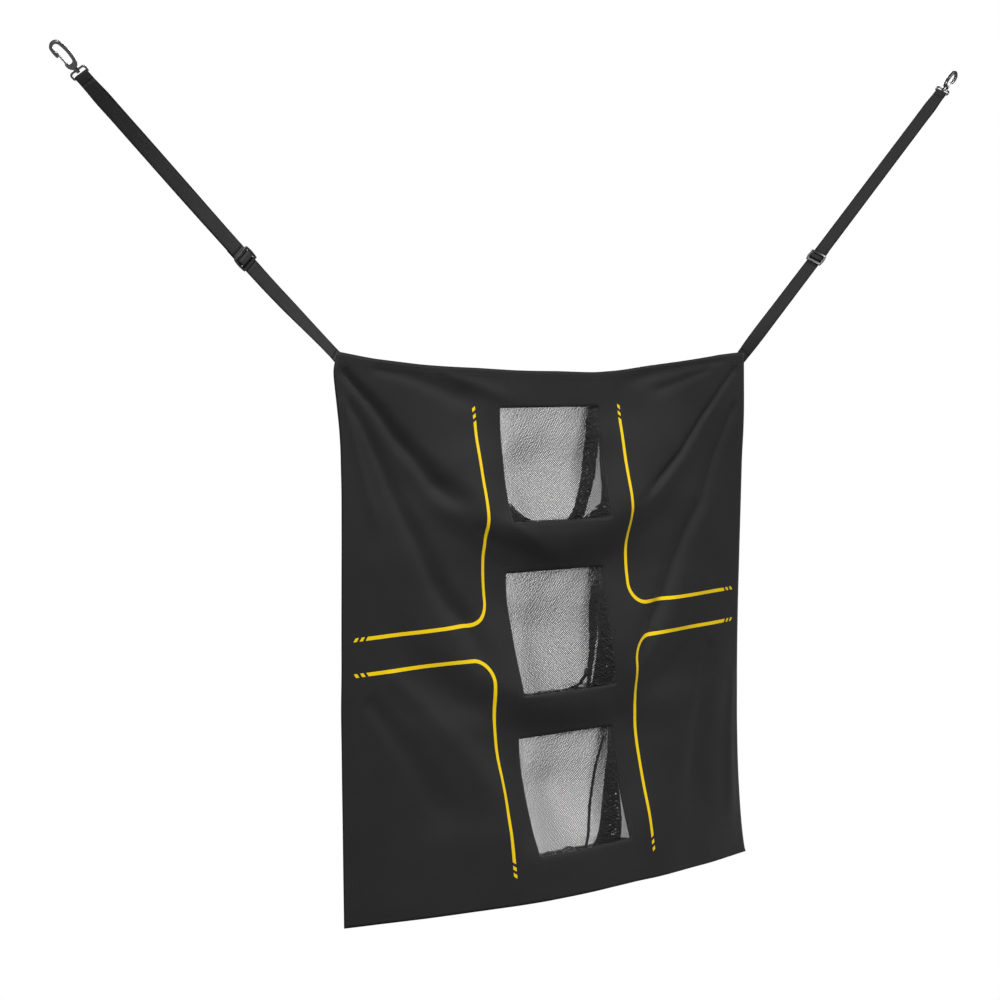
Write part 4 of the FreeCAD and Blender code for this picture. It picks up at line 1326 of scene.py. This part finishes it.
def ribbonFrames(strap, path, distance):
    # Webbing bent round the slider's bars, along a path of (along, out) with round corners
    along, across, front = strapAxes(strap, strap["sliderTwistDeg"])
    origin = strapOrigin(strap, strap["lower"])
    radius, steps = webbing["bend"], webbing["bendSteps"]
    points = [np.array(place) for place in path]
    line = [points[0]]
    for before, corner, after in zip(points, points[1:], points[2:]):
        into = (corner - before) / np.linalg.norm(corner - before)
        out = (after - corner) / np.linalg.norm(after - corner)
        turn = math.atan2(into[0] * out[1] - into[1] * out[0], float(into @ out))
        bendStart = corner - into * radius * math.tan(abs(turn) / 2.0)
        arm = np.array([into[1], -into[0]]) * math.copysign(radius, turn)
        for step in range(steps + 1):
            sine, cosine = math.sin(turn * step / steps), math.cos(turn * step / steps)
            line.append(bendStart - arm + np.array([[cosine, -sine], [sine, cosine]]) @ arm)
    line.append(points[-1])
    frames = []
    for index, place in enumerate(line):
        before, after = line[max(index - 1, 0)], line[min(index + 1, len(line) - 1)]
        way = (after - before) / np.linalg.norm(after - before)
        distance += float(np.linalg.norm(place - before))
        centre = origin + along * float(place[0]) + front * float(place[1])
        normal = along * float(-way[1]) + front * float(way[0])
        frames.append((centre, across, normal, webbing["width"], distance))
    return frames


def lerpTable(table, place):
    return float(np.interp(place, [row[0] for row in table], [row[1] for row in table]))


def anchorFrames(strap):
    # The sewn webbing lies against the back of the creased corner
    overhang, turn = webbing["anchorOverhang"], webbing["anchorTwistLength"]

    def twist(station):
        return strap["lowerTwists"][0][1] * float(smoothStep((station + turn) / (overhang + turn)))

    frames = []
    for centre, across, front, width, station in runFrames(strap, -webbing["anchorLength"], overhang, twist):
        near = [centre + across * (width * share) for share in (-0.5, -0.25, 0.0, 0.25, 0.5)]
        creased = max(float(sheetY(place.x, place.z)[0]) for place in near)
        frames.append((centre + Vector((0.0, max(creased, 0.0), 0.0)), across, front, width, station))
    return frames


def lowerFrames(strap, start, end):
    # From the corner to the slider, twisted on the way
    def twist(station):
        blend = webbing["twistBlend"]
        shares = (0.0, -1.0, -1 / 3, 1 / 3, 1.0)
        here, *near = (lerpTable(strap["lowerTwists"], station + blend * share) for share in shares)
        inside = min(1.0, max(0.0, min(station - start, end - station)) / blend)
        return inside * sum(near) / 4.0 + (1.0 - inside) * here

    def heightAt(station):
        return webbing["runHeight"] * (station - start) / (end - start)

    return runFrames(strap, start, end, twist, heightAt)


def upperFrames(strap, start, end, height, turnSide):
    # One layer from the slider to the swivel eye, narrower and further apart at the eye
    eyeSide = webbing["eyeHeight"] + turnSide * webbing["turnRadius"]

    def between(first, last, share):
        return first + (last - first) * float(smoothStep(share))

    def twist(station):
        return between(strap["sliderTwistDeg"], strap["eyeTwistDeg"], (station - start) / (end - start))

    def heightAt(station):
        return between(height, eyeSide, (station - end) / webbing["splitLength"] + 1.0)

    def widthAt(station):
        return between(webbing["eyeWidth"], webbing["width"], (end - station) / webbing["taperLength"])

    return runFrames(strap, start, end, twist, heightAt, widthAt)


def turnFrames(strap):
    # Round the bar of the swivel eye, from the front layer to the back one
    along, across, front = strapAxes(strap, strap["eyeTwistDeg"])
    eyeStation = strap["lower"] + strap["upper"]
    centre = strapOrigin(strap, eyeStation) + front * webbing["eyeHeight"]
    radius, reach, shares = webbing["turnRadius"], webbing["turnReach"], (1.0, 0.66, 0.33)
    outline = [(-reach * share, radius, math.pi / 2.0) for share in shares]
    angles = [math.radians(angle) for angle in range(90, -91, -webbing["turnStepDeg"])]
    outline += [(radius * math.cos(angle), radius * math.sin(angle), angle) for angle in angles]
    outline += [(-reach * share, -radius, -math.pi / 2.0) for share in reversed(shares)]
    frames, distance = [], eyeStation - reach
    for before, (x, out, angle) in zip(outline[:1] + outline, outline):
        distance += math.dist(before[:2], (x, out))
        normal = along * math.cos(angle) + front * math.sin(angle)
        frames.append((centre + along * x + front * out, across, normal, webbing["eyeWidth"], distance))
    return frames


def makeStrap(name):
    strap = straps[name]
    slider, loop = name + "_slider", name + "_loop"
    reach, run = webbing["passReach"], webbing["runHeight"]
    back, tail = webbing["returnHeight"], webbing["tailHeight"]
    overhang, lowerEnd, upperStart = webbing["anchorOverhang"], strap["lower"] - reach, strap["lower"] + reach
    upperEnd = strap["lower"] + strap["upper"] - webbing["turnReach"]

    def place(station):
        return tuple(strapOrigin(strap, station))

    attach(webPiece(name, "anchor", anchorFrames(strap)), "target")
    lowerRun = webPiece(name, "lower run", lowerFrames(strap, overhang, lowerEnd))
    place(overhang)
    place(lowerEnd)
    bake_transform(lowerRun)
    foot, crest, over = webbing["passFoot"], webbing["passCrest"], webbing["passHeight"]
    passPath = [(-reach, run), (-foot, run), (-crest, over), (crest, over), (foot, run), (reach, run)]
    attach(webPiece(name, "slider pass", ribbonFrames(strap, passPath, lowerEnd)), slider)
    half, over, far = webbing["wrapHalf"], webbing["wrapHeight"], webbing["tailReach"]
    endPath = [(reach, back), (half, back), (half, over), (-half, over), (-half, tail), (far, tail)]
    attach(webPiece(name, "sewn end", ribbonFrames(strap, endPath, 0.0)), slider)
    for layer, height, turnSide in (("front", run, 1.0), ("back", back, -1.0)):
        piece = webPiece(name, layer + " run", upperFrames(strap, upperStart, upperEnd, height, turnSide))
        place(upperStart)
        place(upperEnd)
        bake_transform(piece)
    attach(webPiece(name, "eye turn", turnFrames(strap)), loop)


for strapName in straps:
    makeStrap(strapName)
print("straps made")


def makeTacks(name):
    # Bar tacks over the webbing's sewn end, behind the slider
    strap = straps[name]
    along, across, front = strapAxes(strap, strap["sliderTwistDeg"])
    outside = webbing["tailHeight"] - webbing["thickness"] / 2.0 - stitching["above"]
    middle = strapOrigin(strap, strap["lower"]) + front * outside
    half, steps = stitching["tackHalfWidth"], stitching["tackSteps"]
    lines = []
    for station in stitching["tackStations"]:
        start, end = (middle + along * station + across * (half * side) for side in (-1.0, 1.0))
        lines.append([start.lerp(end, step / steps) for step in range(steps + 1)])
    stitchPiece(name + "StrapTacks", lines, name + "_slider")


sheetStitches = makeSheetStitches()
for strapName in straps:
    makeTacks(strapName)
print("stitches made")

# Sliders, swivel eyes, hooks and gates

fittings = {
    "mergeGap": 0.00001,
    "smoothDeg": 32.0,
    "finishes": {
        "blackPlastic": {
            "colour": (0.008, 0.008, 0.009),
            "roughness": 0.34,
            "scuff": 0.08,  # how far handling changes the roughness
            "settings": {"IOR": 1.85},
        },
        "blackMetal": {
            "colour": (0.008, 0.008, 0.0085),
            "roughness": 0.18,
            "scuff": 0.06,
            "settings": {"Specular IOR Level": 0.6, "IOR": 2.1, "Coat Weight": 0.6, "Coat Roughness": 0.12},
        },
        "gateWire": {
            "colour": (0.62, 0.62, 0.6),
            "roughness": 0.22,
            "scuff": 0.12,
            "settings": {"Metallic": 1.0},
        },
    },
    # Each side's pieces: name, node, body, finish and slot
    "pieces": [
        ("Slider", "slider", "slider", "blackPlastic", "slider"),
        ("SwivelEye", "swivel_eye", "eye", "blackMetal", "black_metal"),
        ("Hook", "hook", "hook", "blackMetal", "black_metal"),
        ("HookGate", "hook_gate", "gate", "gateWire", "gate_wire"),
    ],
}


def fittingMaterial(name, colour, roughness, scuff, settings):
    material, tree, shader = newMaterial(name, settings)
    use = placeUse(tree, objectPlace(tree), 90.0, 420.0)
    connect(tree, shader.inputs["Base Color"], shaded(tree, colour, uneven(use["Tone"], 0.5)))
    connect(tree, shader.inputs["Roughness"], use["Tone"] * scuff + (roughness - scuff / 2.0))
    bumpInto(tree, shader, use["Speck"], 0.00003, 0.2)
    return material


fittingMaterials = {name: fittingMaterial(name, **finish) for name, finish in fittings["finishes"].items()}


def refine(name, node, body, finish):
    # A smooth copy of a fitting with its seams merged
    mesh = frame["nodes"][node].data.copy()
    mesh.name = name
    mesh.materials.clear()
    shell = bmesh.new()
    shell.from_mesh(mesh)
    bmesh.ops.remove_doubles(shell, verts=shell.verts, dist=fittings["mergeGap"])
    limit = math.radians(fittings["smoothDeg"])
    for edge in shell.edges:
        edge.smooth = len(edge.link_faces) == 2 and edge.calc_face_angle(0.0) < limit
    for face in shell.faces:
        face.smooth = True
        face.material_index = 0
    shell.to_mesh(mesh)
    shell.free()
    settle(newObject(name, mesh, [fittingMaterials[finish]]), body, node)


for side in ("left", "right"):
    for piece, node, body, finish, slot in fittings["pieces"]:
        refine(side + piece, side + "_" + node, side + "_" + body, finish)
print("fittings made")

# Floor and light

studio = {
    "floorHeight": -1.32,
    "floorSize": 40.0,
    "floorColour": 0.25,
    "floorGlow": 0.04,  # towards everything but the camera
    "worldStrength": 0.14,
    # Each light: power, size, place and the point that it faces
    "boxes": {
        "topBox": (245.0, 2.0, (-1.35, -2.0, 3.4), (0.0, 0.0, -0.5)),
        "rightBox": (115.0, 1.8, (5.0, -4.2, 3.2), (0.0, 0.0, -0.4)),
        "backBox": (210.0, 2.2, (2.4, 3.6, 2.6), (0.0, 0.0, -0.2)),
        "lowBox": (30.0, 1.6, (-3.3, -2.4, -0.9), (-0.7, 0.0, 0.0)),
    },
}


def makeFloor():
    # Even and white to the camera, it lights the cloth only a little
    bpy.ops.mesh.primitive_plane_add(size=studio["floorSize"], location=(0.0, 0.0, studio["floorHeight"]))
    floor = bpy.context.active_object
    floor.name = "floor"
    finish = {"Roughness": 0.9, "Specular IOR Level": 0.0, "Emission Color": (1.0, 1.0, 1.0, 1.0)}
    material, tree, shader = newMaterial("paleFloor", finish)
    toCamera = Wire(tree, addNode(tree, "ShaderNodeLightPath").outputs["Is Camera Ray"])
    glow = studio["floorGlow"]
    connect(tree, shader.inputs["Emission Strength"], toCamera * (1.0 - glow) + glow)
    colour = mixColour(tree, toCamera, grey(studio["floorColour"]), grey(0.0))
    connect(tree, shader.inputs["Base Color"], colour)
    floor.data.materials.append(material)


def makeWorld():
    world = bpy.data.worlds.new("studioWorld")
    bpy.context.scene.world = world
    world.use_nodes = True
    tree = world.node_tree
    tree.nodes.clear()
    toCamera = addNode(tree, "ShaderNodeLightPath").outputs["Is Camera Ray"]
    white = (1.0, 1.0, 1.0, 1.0)
    lights = [{"Color": white, "Strength": strength} for strength in (studio["worldStrength"], 1.0)]
    lighting, backdrop = (addNode(tree, "ShaderNodeBackground", light).outputs[0] for light in lights)
    both = addNode(tree, "ShaderNodeMixShader", {0: toCamera, 1: lighting, 2: backdrop}).outputs[0]
    addNode(tree, "ShaderNodeOutputWorld", {"Surface": both})


def makeLights():
    for name, (power, size, place, target) in studio["boxes"].items():
        data = bpy.data.lights.new(name, "AREA")
        data.energy = power
        data.shape = "SQUARE"
        data.size = size
        obj = newObject(name, data)
        obj.location = place
        obj.rotation_euler = (Vector(target) - Vector(place)).to_track_quat("-Z", "Y").to_euler()


makeFloor()
makeWorld()
makeLights()
bpy.context.scene.view_settings.view_transform = "Standard"
print("studio made")
